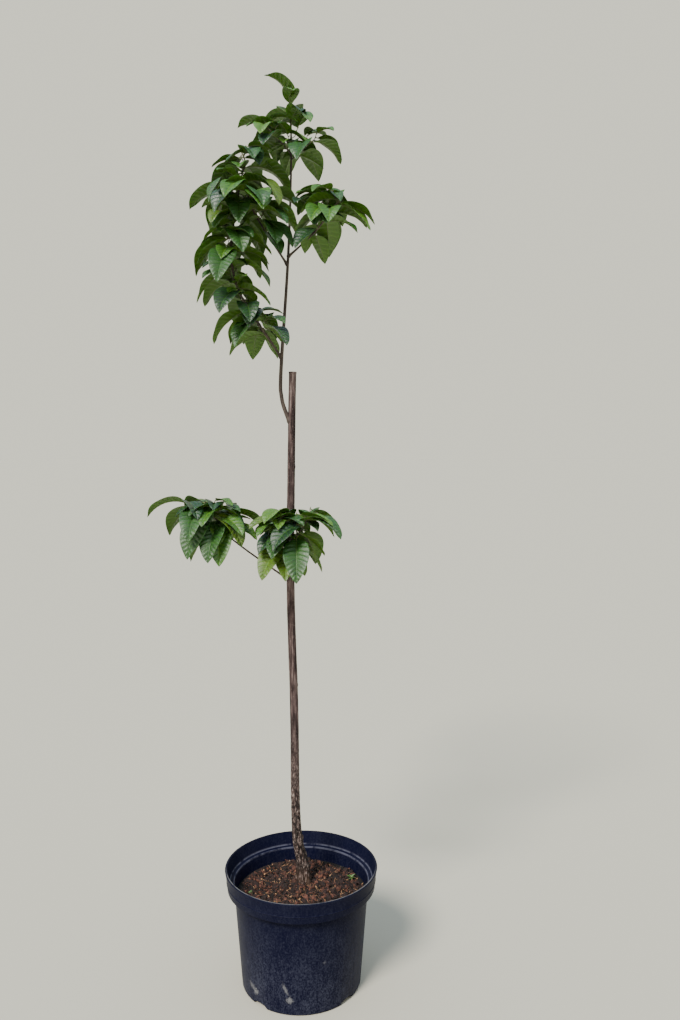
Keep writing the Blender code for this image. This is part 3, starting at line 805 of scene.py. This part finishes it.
def blade(leaf, s, t, relief=0.0, width=half_width):
    """Points of a leaf's blade: s runs from its base to its tip, t from edge to edge."""
    s, t = np.broadcast_arrays(np.asarray(s, float), np.asarray(t, float))
    bend = (leaf.rise + DROOP * leaf.length) * (1 - ERECT * max(0, math.sin(leaf.rise)))
    bend = max(LEAST_BEND, bend)
    pitch = leaf.rise - bend * s
    start, _, _ = axes(leaf.heading, np.array(leaf.rise))
    _, right, face = axes(leaf.heading, pitch)
    ahead = level(leaf.heading)
    far = (math.sin(leaf.rise) - np.sin(pitch)) / bend
    high = (np.cos(pitch) - math.cos(leaf.rise)) / bend
    spine = leaf.foot + start * PETIOLE * leaf.length
    spine = spine + leaf.length * (1 - PETIOLE) * (far[..., None] * ahead + high[..., None] * UP)
    cr, sr = math.cos(leaf.roll), math.sin(leaf.roll)
    right, face = right * cr + face * sr, face * cr - right * sr
    half = width(leaf, s)
    across = (half * t * math.cos(FOLD))[..., None] * right
    lift = (half * np.abs(t) * math.sin(FOLD) + relief)[..., None] * face
    return spine + across + lift


def probe(leaf):
    return blade(leaf, PROBE_S, PROBE_T).reshape(-1, 3)


def spray_leaves(spray):
    """The leaves that a stretch of twig would bear, each a golden angle on from the last."""
    chance = random.Random(spray.seed)
    first, middle, last = spray.lengths
    for i in range(spray.leaves):
        t = i / (spray.leaves - 1)
        length = first * (1 - t) * (1 - 2 * t) + 4 * middle * t * (1 - t) + last * t * (2 * t - 1)
        length *= chance.uniform(*SIZE_SPREAD) * MM
        heading = math.radians(spray.turn + chance.uniform(-TURN_SPREAD, TURN_SPREAD))
        heading += GOLDEN_ANGLE * i
        lift = BASE_RISE + (spray.lift - BASE_RISE) * t**2
        rise = math.radians(lift + chance.uniform(-RISE_SPREAD, RISE_SPREAD) * (1 - t / 2))
        roll = math.radians(chance.uniform(-ROLL_SPREAD, ROLL_SPREAD))
        at = spray.first + (spray.last - spray.first) * t
        yield Leaf(ROUTES[spray.twig].at(at), heading, rise, length, roll, spray.twig, at)


def nearest(points, others):
    if not len(others):
        return math.inf
    gaps = points[:, None, :] - np.vstack(others)[None, :, :]
    return np.sqrt((gaps**2).sum(axis=2)).min()


def limb_probes(route):
    return route.at(np.linspace(0, 1, max(4, int(route.length / LIMB_PROBE))))


def find_room(spray, foreign, own, room, own_room, reach=None):
    """The leaves of a spray that find room, turned a little where they must be."""
    found = []
    for leaf in spray_leaves(spray):
        for nudge in NUDGES:
            turned = leaf._replace(heading=leaf.heading + nudge)
            points = probe(turned)
            inside = reach is None or ((points > reach[0]) & (points < reach[1])).all()
            if inside and nearest(points, foreign) >= room and nearest(points, own) >= own_room:
                found.append(turned)
                own.append(points)
                break
    return found


def grow_leaves():
    """Every leaf of the tree by its mass, and then the small leaves of the finest shoots."""
    limbs = [limb_probes(route) for route in ROUTES.values()]
    grown = {name: [] for name in MASSES}
    probes = {name: [] for name in MASSES}
    for spray in SPRAYS:
        foreign = limbs + [p for name in MASSES if name != spray.mass for p in probes[name]]
        grown[spray.mass] += find_room(spray, foreign, probes[spray.mass], ROOM, OWN_ROOM)
    small = {name: [] for name in MASSES}
    for name, leaves in grown.items():
        chance = random.Random(SHOOT_SEEDS[name])
        reach = [np.array(corner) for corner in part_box("foliage_" + name)]
        for i, leaf in enumerate(leaves):
            length = chance.uniform(*SHOOT_LENGTH)
            count = chance.randint(*SHOOT_LEAVES)
            sizes = [chance.uniform(*SHOOT_LEAF) for _ in range(3)]
            turn = chance.uniform(0, 360)
            if chance.random() > SHOOT_SHARE:
                continue
            twig = f"{name}_shoot_{i + 1}"
            way = level(leaf.heading)
            foot = leaf.foot / MM
            bends = [foot] + [foot + length * (out * way + up * UP) for out, up in SHOOT_BENDS]
            ROUTES[twig] = Route(bends)
            spray = Spray(name, twig, *SHOOT_SPRAY, count, sizes, SHOOT_LIFT, turn,
                          chance.randrange(1000))
            foreign = limbs + [p for other in MASSES for p in probes[other]]
            own = []
            found = find_room(spray, foreign, own, SHOOT_ROOM, SHOOT_ROOM, reach)
            if found:
                LIMBS[twig] = Limb(bends, SHOOT_THICKNESS)
                probes[name] += own
                small[name] += found
    return grown, small


# ---------------- leaves, buds and twigs

def lamina(shape, leaf, look, wave, half=HALF_COLUMNS):
    """A closed leaf blade: its rows follow the side veins, and it swells between them."""
    bays = max(4, round(leaf.length * (1 - PETIOLE) / VEIN_SPACING))
    rows = [(bay + step) / bays for bay in range(bays) for step in VEIN_ROWS] + [1]
    columns = [-t for t in half[::-1]] + [0] + list(half)
    u, t = np.meshgrid(rows, columns, indexing="ij")
    side = np.abs(t)
    s = u + VEIN_SWEEP * side * u * (1 - u)
    step = np.clip(((u * bays) % 1 - VEIN_ROWS[1]) / (1 - VEIN_ROWS[1]), 0, 1)
    swell = np.sin(math.pi * step) ** 0.8 * np.sin(math.pi * side**0.85)
    ends = np.clip(8 * u, 0, 1) * np.clip(6 * (1 - u), 0, 1)
    relief = QUILT * leaf.length * swell * ends - MIDRIB_SINK * np.exp(-((side / 0.1) ** 2)) * ends
    relief += EDGE_WAVE * leaf.length * np.sin(math.tau * (1.7 * u + wave)) * t * side * ends
    thick = EDGE_THICKNESS + (BLADE_THICKNESS - EDGE_THICKNESS) * (1 - t**2)
    top = blade(leaf, s, t, relief + thick / 2, full_width)
    bottom = blade(leaf, s, t, relief - thick / 2, full_width)
    across = len(columns)
    middle = across // 2
    veined = slice(len(VEIN_ROWS), None, len(VEIN_ROWS))
    vein = "leaf_vein" if look in DARK_LOOKS else "leaf_rib"
    looks = np.full((len(rows) - 1, 2 * across), look, dtype=object)
    looks[:, middle - 1:middle + 1] = vein
    looks[veined, 1:across - 2] = vein
    looks[:, across:2 * across - 1] = "leaf_underside"
    looks[veined, across + 1:2 * across - 2] = "leaf_rib"
    spine = (top[:, middle] + bottom[:, middle]) / 2
    under = np.arange(2 * across) >= across
    grid = np.concatenate([top, bottom[:, ::-1]], axis=1)
    shape.solid(grid, (spine[0], spine[-1]), looks, look, turned=under)


def stalk(shape, leaf):
    """The petiole, and the rib that goes on from it under the blade to the tip."""
    scale = (leaf.length / STALK_LEAF) ** 0.5
    s = np.linspace(0, 0.96, 11)
    rib = blade(leaf, s, 0, -BLADE_THICKNESS / 2 - MIDRIB_SINK)
    first = leaf.foot + (rib[0] - leaf.foot) * np.array([0, 0.15, 0.35, 0.6, 0.85])[:, None]
    line = np.vstack([first, rib])
    thick = np.concatenate([[1.5, 1.4, 1.05, 0.95, 0.95], 0.95 - s])
    radii = np.maximum(thick, 0) * (STALK_RADIUS - RIB_TIP_RADIUS) * scale + RIB_TIP_RADIUS
    shape.tube(line, radii, STALK_SIDES, "petiole")


def bud(shape, leaf, size):
    """A small pointed bud in the angle between a leaf's stalk and its twig."""
    route = ROUTES[leaf.twig]
    ahead = route.at(min(1, leaf.at + 0.02)) - route.at(leaf.at - 0.02)
    ahead = ahead / np.linalg.norm(ahead)
    way = ahead + 0.8 * (level(leaf.heading) + 0.2 * UP)
    way /= np.linalg.norm(way)
    steps = np.array([0, 0.15, 0.4, 0.65, 0.85, 1])
    swell = np.array([0.7, 1, 1.05, 0.75, 0.4, 0.08])
    line = leaf.foot + way * (0.8 * MM + size * BUD_LENGTH * steps)[:, None]
    shape.tube(line, swell * BUD_RADIUS * size, STALK_SIDES, "bud_scale")


def twig(shape, name, start, end, nodes, sides, young):
    """A thin limb with a swelling at each leaf's foot, which turns green between two fractions."""
    route = ROUTES[name]
    steps = max(4, round((end - start) * route.length / TWIG_STEP))
    at = np.linspace(start, end, steps + 1)
    radii = radius(name, at)
    for node in nodes:
        away = (at - node) * route.length / NODE_LENGTH
        radii = radii * (1 + NODE_SWELL * np.exp(-away**2))
    tip = np.clip((end - at) * route.length / MM, 0, 1)
    youth = np.clip((at - young[0]) / (young[1] - young[0]), 0, 1)
    shape.tube(route.at(at), radii * (0.35 + 0.65 * tip), sides, "bough_bark", youth)


def make_foliage(leaves, small):
    """The leaves, the twigs and the buds of each mass, each kind one piece."""
    deal = random.Random(LOOK_SEED)
    for name, mass in MASSES.items():
        blades, twigs, buds = Shape(), Shape(), Shape()
        for leaf in leaves[name]:
            lamina(blades, leaf, deal.choices(*LEAF_LOOKS)[0], deal.random())
            stalk(blades, leaf)
            bud(buds, leaf, deal.uniform(*BUD_SIZES))
        for leaf in small[name]:
            lamina(blades, leaf, deal.choices(*SMALL_LOOKS)[0], deal.random(), FEW_COLUMNS)
            stalk(blades, leaf)
            bud(buds, leaf, SHOOT_BUD)
        shoots = sorted({leaf.twig for leaf in small[name]})
        for limb in [mass.stem, *mass.twigs, *shoots]:
            nodes = [leaf.at for leaf in leaves[name] + small[name] if leaf.twig == limb]
            start = mass.start if limb == mass.stem else 0
            end = min(1, max(nodes) + PAST_LEAF)
            fine = (SHOOT_SIDES, SHOOT_YOUTH) if limb in shoots else (TWIG_SIDES, TWIG_YOUTH)
            twig(twigs, limb, start, end, nodes, *fine)
            bud(buds, Leaf(ROUTES[limb].at(end), 0, math.pi / 2, 0, 0, limb, end), TIP_BUD)
        node = "foliage_" + name
        blades.piece("leaves_" + name, "leaf", node)
        twigs.piece("twigs_" + name, "young_bark", node)
        buds.piece("buds_" + name, "young_bark", node)


# ---------------- trunk, leader and boughs

def bark_relief(point, rough):
    """How far the bark stands out: cracked plates where it is rough, fine ripples elsewhere."""
    x, y, z = point / MM

    def waves(across, along, start=0):
        return noise.noise(Vector((x / across, y / across, z / along + start)))

    crack = 1 - min(1, abs(waves(5, 26)) / 0.16)
    cross = 1 - min(1, abs(waves(9, 7, 40)) / 0.10)
    plate = waves(3.2, 6, 90)
    ripple = waves(4, 34, 20)
    cracked = 0.35 * plate - 0.95 * max(crack, 0.7 * cross)
    return (rough * cracked + (1 - rough) * (0.22 * ripple + 0.10 * plate)) * MM


def make_trunk():
    route = ROUTES["trunk"]
    at = np.linspace(0, 1, round(route.length / TRUNK_STEP))
    high = at * route.length
    angle = np.arange(TRUNK_SIDES) * math.tau / TRUNK_SIDES
    lobes = 1 + LOBE_DEPTH * np.cos(FLARE_LOBES * angle) * np.exp(-high / LOBE_HEIGHT)[:, None]
    radii = trunk_radius(at)[:, None] * lobes
    for height, size, turn in KNOBS:
        round_off = np.angle(np.exp(1j * (angle - math.radians(turn)))) * TRUNK_WAIST
        far = np.hypot(high[:, None] - height * MM, round_off[None, :]) / (size * MM / 2)
        rise = KNOB_RISE * np.exp(-far**2) - KNOB_DIMPLE * np.exp(-((far * 3) ** 2))
        radii = radii + rise * size * MM
    line = route.at(at)
    skin = rings(line, radii, TRUNK_SIDES)
    rough = np.clip(1.5 - high / ROUGH_HEIGHT, 0.06, 1)
    relief = [[bark_relief(point, amount) for point in ring] for ring, amount in zip(skin, rough)]
    lip = np.exp(-(((high[-1] - high) / CUT_LIP_HEIGHT) ** 2)) * CUT_LIP
    skin = rings(line, radii + np.array(relief) + lip[:, None], TRUNK_SIDES)
    shape = Shape()
    foot = skin[:1] - UP * TRUNK_SUNK
    ids = shape.add_points(np.concatenate([foot, skin]))
    shape.skin(ids, "trunk_bark")
    shape.cap(ids[0][::-1], line[0] - UP * TRUNK_SUNK, "trunk_bark")
    inner = [line[-1] + (skin[-1] - line[-1]) * part + UP * rise * MM for part, rise in CUT_RINGS]
    tops = np.vstack([ids[-1:], shape.add_points(np.array(inner))])
    shape.skin(tops[:3], "trunk_bark")
    shape.skin(tops[2:], "cut_wood")
    shape.cap(tops[-1], line[-1] - UP * CUT_DEPTH, "cut_wood")
    shape.piece("trunk_bark", "bark", "trunk")


def make_bough(name, route_name, end, buried):
    """A bough with its collar, where it swells out of its parent, and its fine relief."""
    route = ROUTES[route_name]
    at = np.linspace(0, end, max(8, round(end * route.length / BOUGH_STEP)))
    out = np.maximum(0, at * route.length - buried)
    radii = radius(route_name, at) * (1 + COLLAR_SWELL * np.exp(-out / COLLAR_LENGTH))
    line = route.at(at)
    skin = rings(line, radii, BOUGH_SIDES)
    relief = [[noise.noise(Vector(point / MM) * 0.4) * BOUGH_RELIEF for point in ring]
              for ring in skin]
    shape = Shape()
    shape.tube(line, radii[:, None] + np.array(relief), BOUGH_SIDES, "bough_bark")
    shape.piece(name + "_bark", "young_bark", name)


def make_limbs():
    make_trunk()
    make_bough("leader", "leader", MASSES["top"].start, LEADER_BURIED)
    for side, buried in BURIED.items():
        make_bough("bough_" + side, side, MASSES[side].start, buried * MM)


# ---------------- pot

def body_radius(height):
    """Outer radius of the pot's tapering body."""
    return BASE_RADIUS + (BODY_TOP_RADIUS - BASE_RADIUS) * height / SKIRT_HEIGHT


def collar_radius(height):
    """Outer radius of the collar, which flares to the rim."""
    rise = (height - SKIRT_HEIGHT) / COLLAR_HEIGHT
    return COLLAR_FOOT_RADIUS + (RIM_RADIUS - RIM_STEP - COLLAR_FOOT_RADIUS) * rise


def make_pot():
    outer_ledge = LEDGE_HEIGHT - POT_WALL
    ledge_radius = COLLAR_FOOT_RADIUS - POT_WALL
    inner_top = BODY_TOP_RADIUS - POT_WALL
    bead = []
    for rise, out in BEAD_ROUND:
        height = BEAD_HEIGHT + rise * BEAD_SIZE
        bead.append((collar_radius(height) + out * BEAD_SIZE, height))
    profile = [
        (0, FLOOR),
        (BASE_RADIUS - RING_WIDTH - RING_HEIGHT / 2, FLOOR),
        (BASE_RADIUS - RING_WIDTH, RING_HEIGHT),
        (body_radius(RING_HEIGHT) - POT_WALL, RING_HEIGHT),
        (inner_top, SKIRT_HEIGHT),
        (inner_top + POT_WALL, LEDGE_HEIGHT),
        (ledge_radius - POT_WALL, LEDGE_HEIGHT + POT_WALL / 2),
        (RIM_RADIUS - LIP, POT_HEIGHT),
        (RIM_RADIUS - RIM_ROUND / 3, POT_HEIGHT),
        (RIM_RADIUS, POT_HEIGHT - RIM_ROUND),
        (RIM_RADIUS - RIM_STEP, POT_HEIGHT - RIM_BAND),
        *bead,
        (COLLAR_FOOT_RADIUS, SKIRT_HEIGHT),
        (ledge_radius, SKIRT_HEIGHT),
        (ledge_radius, outer_ledge),
        (BODY_TOP_RADIUS + POT_WALL / 2, outer_ledge - POT_WALL / 2),
        (BODY_TOP_RADIUS, SKIRT_HEIGHT - MM),
        (BASE_RADIUS + MM / 2, FOOT_BEVEL[1]),
        (BASE_RADIUS - FOOT_BEVEL[0], 0),
        (0, 0),
    ]
    edges = [(i, i + 1) for i in range(len(profile) - 1)]
    outline = make_mesh("pot_shell", [(r, 0, z) for r, z in profile], edges, [])
    pot = place_object("pot_shell", outline)
    modify(pot, "SCREW", angle=math.tau, steps=POT_SIDES, render_steps=POT_SIDES,
           use_merge_vertices=True, merge_threshold=MM / 10)
    notches = [notch(NOTCH_TURN + math.tau * i / NOTCHES) for i in range(NOTCHES)]
    for cutter in notches:
        modify(pot, "BOOLEAN", operation="DIFFERENCE", solver="EXACT", object=cutter)
    modify(pot, "BEVEL", width=POT_EDGE, segments=3, limit_method="ANGLE", angle_limit=SHARP)
    mesh = baked(pot)
    pot.modifiers.clear()
    pot.data = mesh
    mesh.materials.clear()
    mesh.materials.append(bpy.data.materials["moulded_plastic"])
    mesh.shade_smooth()
    for cutter in notches:
        drop(cutter)
    finish_piece(pot, "pot_plastic", "pot")


def notch(angle):
    """A cutter for one drainage notch, whose upper edge is a low arch."""
    shape = Shape()
    arch = [(-0.5, -1), (0.5, -1), (0.5, 0.45), (0.36, 0.85), (0.15, 1), (-0.15, 1),
            (-0.36, 0.85), (-0.5, 0.45)]
    out = level(angle)
    side = np.cross(UP, out)
    ring = np.array([side * NOTCH_WIDTH * x + UP * NOTCH_HEIGHT * z for x, z in arch])
    depths = np.array([BASE_RADIUS - NOTCH_DEPTH, BASE_RADIUS + NOTCH_DEPTH])[:, None]
    shape.solid(depths[:, None] * out + ring, depths * out, "moulded_plastic")
    return shape.piece(f"notch_{round(math.degrees(angle))}")


# ---------------- soil

def soil_radius(height):
    """Radius of the medium where it lies against the wall."""
    return body_radius(height) - POT_WALL - GAP


def soil_height(x, y):
    out = math.hypot(x, y)
    wall = soil_radius(SOIL_LEVEL - SOIL_FALL)
    fall = SOIL_FALL * max(0, out - FOOT_FLAT) / (wall - FOOT_FLAT)
    here = Vector((x, y, 0))
    lumps = sum(high * noise.noise(here / (width * MM)) for high, width in SOIL_LUMPS)
    loose = min(1, out / FOOT_FLAT) * min(1, (wall - out) / SOIL_MARGIN)
    return SOIL_LEVEL - fall + lumps * loose * MM


def soil_top():
    """Rings of points over the top of the medium, from the middle to the wall."""
    wall = soil_radius(SOIL_LEVEL - SOIL_FALL)
    outs = [wall * i / SOIL_RINGS for i in range(1, SOIL_RINGS + 1)]
    return np.array([[(x, y, soil_height(x, y)) for x, y in circle(out, SOIL_SIDES)]
                     for out in outs])


def make_soil():
    top = soil_top()
    wall = top[-1][0][0]
    step = RING_HEIGHT + GAP
    ring = BASE_RADIUS - RING_WIDTH - GAP
    sides = [top[-1] * [r / wall, r / wall, 0] + UP * z for r, z in (
        (soil_radius(RING_HEIGHT), step), (ring, step), (ring - RING_HEIGHT / 2, FLOOR + GAP))]
    shape = Shape()
    ids = shape.add_points(np.concatenate([top, np.array(sides)]))
    shape.skin(ids[:, ::-1], "growing_medium")
    shape.cap(ids[0], np.array([0, 0, SOIL_LEVEL]), "growing_medium")
    shape.cap(ids[-1][::-1], np.array([0, 0, FLOOR + GAP]), "growing_medium")
    shape.piece("soil_bed", "soil", "soil")
    strew(top)
    weeds = Shape()
    for place, leaves, size, seed in WEEDS:
        weed(weeds, place, leaves, size, seed)
    weeds.piece("weeds", "leaf", "soil")


def chip(name, size, seed):
    """An uneven splinter of bark: a squashed ball of 20 faces."""
    chance = random.Random(seed)
    golden = (1 + 5**0.5) / 2
    corners = [(0, a, b * golden) for a in (-1, 1) for b in (-1, 1)]
    corners = [np.roll(corner, k) for k in range(3) for corner in corners]
    points = np.array([corner * chance.uniform(0.65, 1.15) for corner in corners])
    points *= np.array(size) * MM / golden / 2
    near = {pair for pair in combinations(range(12), 2)
            if abs(np.linalg.norm(corners[pair[0]] - corners[pair[1]]) - 2) < 0.01}
    faces = [f for f in combinations(range(12), 3) if near.issuperset(combinations(f, 2))]
    outward = [f if np.linalg.det([corners[i] for i in f]) > 0 else f[::-1] for f in faces]
    return place_object(name, make_mesh(name, points.tolist(), [], outward))


def fibre(name, size, seed):
    """A curled strand of coir, of a given length."""
    chance = random.Random(seed)
    at = np.linspace(-0.5, 0.5, 7)
    curl = chance.uniform(0.15, 0.35)
    line = np.stack([at, curl * np.cos(at * 5), 0.06 * np.sin(at * 9)], axis=-1) * size[0] * MM
    shape = Shape()
    shape.tube(line, [0.25 * MM] * 7, 3, "chip_rust")
    return shape.piece(name)


def scatter(name, host, kind, look, count_per_cm2, sizes, tilt, seed):
    """Copies of a small thing over a host's faces, by Geometry Nodes, as one plain mesh."""
    inputs = {"Geometry": ("Geometry", None), "Density": ("Float", count_per_cm2 * 1e4),
              "Smallest": ("Float", sizes[0]), "Largest": ("Float", sizes[1]),
              "Tilt": ("Float", math.radians(tilt)), "Seed": ("Int", seed),
              "Kind": ("Object", kind)}
    group = bpy.data.node_groups.new(name, "GeometryNodeTree")
    sockets = [group.interface.new_socket(label, in_out="INPUT", socket_type="NodeSocket" + sort)
               for label, (sort, _) in inputs.items()]
    group.interface.new_socket("Geometry", in_out="OUTPUT", socket_type="NodeSocketGeometry")
    tree = Tree(group)
    given = {label: tree.node("NodeGroupInput", output=i) for i, label in enumerate(inputs)}
    points = tree.node("GeometryNodeDistributePointsOnFaces", {"distribute_method": "RANDOM"}, {
        "Mesh": given["Geometry"], "Density": given["Density"], "Seed": given["Seed"]})
    shape = tree.node("GeometryNodeObjectInfo", sockets={"Object": given["Kind"]}, output=4)
    lean = tree.node("ShaderNodeCombineXYZ", sockets={
        0: given["Tilt"], 1: given["Tilt"], 2: math.tau})
    back = tree.vector("MULTIPLY", lean, (-1, -1, 0))
    turn = tree.node("FunctionNodeRandomValue", {"data_type": "FLOAT_VECTOR"}, {
        0: back, 1: lean, "Seed": given["Seed"]})
    size = tree.node("FunctionNodeRandomValue", {"data_type": "FLOAT"}, {
        2: given["Smallest"], 3: given["Largest"], "Seed": given["Seed"]}, 1)
    copies = tree.node("GeometryNodeInstanceOnPoints", sockets={
        "Points": points, "Instance": shape, "Rotation": turn, "Scale": size})
    whole = tree.node("GeometryNodeRealizeInstances", sockets={"Geometry": copies})
    done = tree.node("GeometryNodeSetMaterial", sockets={
        "Geometry": whole, "Material": bpy.data.materials[look]})
    tree.node("NodeGroupOutput", sockets={0: done})
    modifier = modify(host, "NODES", node_group=group)
    for socket, (_, value) in list(zip(sockets, inputs.values()))[1:]:
        modifier[socket.identifier] = value
    mesh = baked(host)
    host.modifiers.remove(modifier)
    return place_object(name, mesh)


def strew(top):
    """Bark chips, splinters, pale flecks and coir over the medium, none through the pot's wall."""
    wall = math.hypot(*top[-1][0][:2])
    for name, look, size, count, spread, tilt in LITTER:
        reach = wall + CHIP_OVERHANG - size[0] * spread[1] / 2 * MM
        bed = Shape()
        bed.skin(bed.add_points(top[:int(SOIL_RINGS * reach / wall)])[:, ::-1], "growing_medium")
        host = bed.piece("bed_" + name)
        make = fibre if len(size) == 1 else chip
        thing = make(name + "_one", size, len(name))
        made = scatter(name, host, thing, look, count, spread, tilt, len(name) + len(look))
        drop(thing)
        drop(host)
        finish_piece(made, "soil", "soil")


def weed(shape, place, leaves, size, seed):
    """A seedling: a rosette of small leaves on the medium."""
    chance = random.Random(seed)
    x, y = (value * MM for value in place)
    foot = np.array([x, y, soil_height(x, y)])
    for i in range(leaves):
        length = size * chance.uniform(0.6, 1) * MM
        rise = math.radians(chance.uniform(20, 70))
        leaf = Leaf(foot, GOLDEN_ANGLE * i, rise, length, chance.uniform(-0.3, 0.3), None, 0)
        lamina(shape, leaf, "weed_leaf", chance.random(), FEW_COLUMNS)
        stalk(shape, leaf)


# ---------------- floor, light and camera

def make_stage():
    """An even sky, a soft key light, and a floor that looks as bright as the sky."""
    way = Vector(KEY_FROM).normalized()
    lit = [KEY_STRENGTH * way.z / math.pi * tint for tint in KEY_TINT]
    sines = np.linspace(0, 1, 1001)
    blue = np.clip((sines - ZENITH_FROM) / (ZENITH_WHOLE - ZENITH_FROM), 0, 1)
    share = (blue * sines).sum() / sines.sum()
    ring = [(x, y, 0) for x, y in circle(FLOOR_RADIUS, FLOOR_SIDES)]
    mesh = make_mesh("floor", ring, [], [list(range(FLOOR_SIDES))])
    look = Look("pale_floor", 1.0, shine=0.0)
    look.set("Base Color", tuple(sky / (sky + (high - sky) * share + key)
                                 for sky, high, key in zip(SKY, ZENITH, lit)))
    mesh.materials.append(look.material)
    place_object("floor", mesh)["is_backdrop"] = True
    world = bpy.data.worlds.new("soft_sky")
    world.use_nodes = True
    sky = Tree(world.node_tree)
    way_out = sky.node("ShaderNodeTexCoord")
    sine = sky.node("ShaderNodeSeparateXYZ", sockets={0: way_out}, output=2)
    stops = ((ZENITH_FROM, SKY), (ZENITH_WHOLE, ZENITH))
    colour = sky.node("ShaderNodeValToRGB", {"stops": stops}, {0: sine})
    sky.feed(world.node_tree.nodes["Background"].inputs["Color"], colour)
    bpy.context.scene.world = world
    lamp = bpy.data.lights.new("key", "SUN")
    lamp.energy = KEY_STRENGTH
    lamp.angle = KEY_SPREAD
    lamp.color = KEY_TINT
    place_object("key", lamp).rotation_euler = way.to_track_quat("Z", "Y").to_euler()


def make_camera():
    lens = bpy.data.cameras.new("camera")
    lens.lens = LENS
    camera = place_object("camera", lens)
    camera.location = CAMERA_PLACE
    camera.rotation_euler = (CAMERA_TILT, 0, 0)
    bpy.context.scene.camera = camera


# ---------------- the whole part

def corners():
    return [list(corner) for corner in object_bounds()]


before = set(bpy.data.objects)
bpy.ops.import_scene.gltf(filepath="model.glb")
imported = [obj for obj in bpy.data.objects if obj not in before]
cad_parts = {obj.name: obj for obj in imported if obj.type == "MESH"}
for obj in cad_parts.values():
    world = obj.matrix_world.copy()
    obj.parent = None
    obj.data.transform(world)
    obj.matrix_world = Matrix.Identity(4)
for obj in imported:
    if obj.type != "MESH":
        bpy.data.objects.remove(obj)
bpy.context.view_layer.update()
make_looks()
make_pot()
make_soil()
make_limbs()
make_foliage(*grow_leaves())
make_stage()
make_camera()
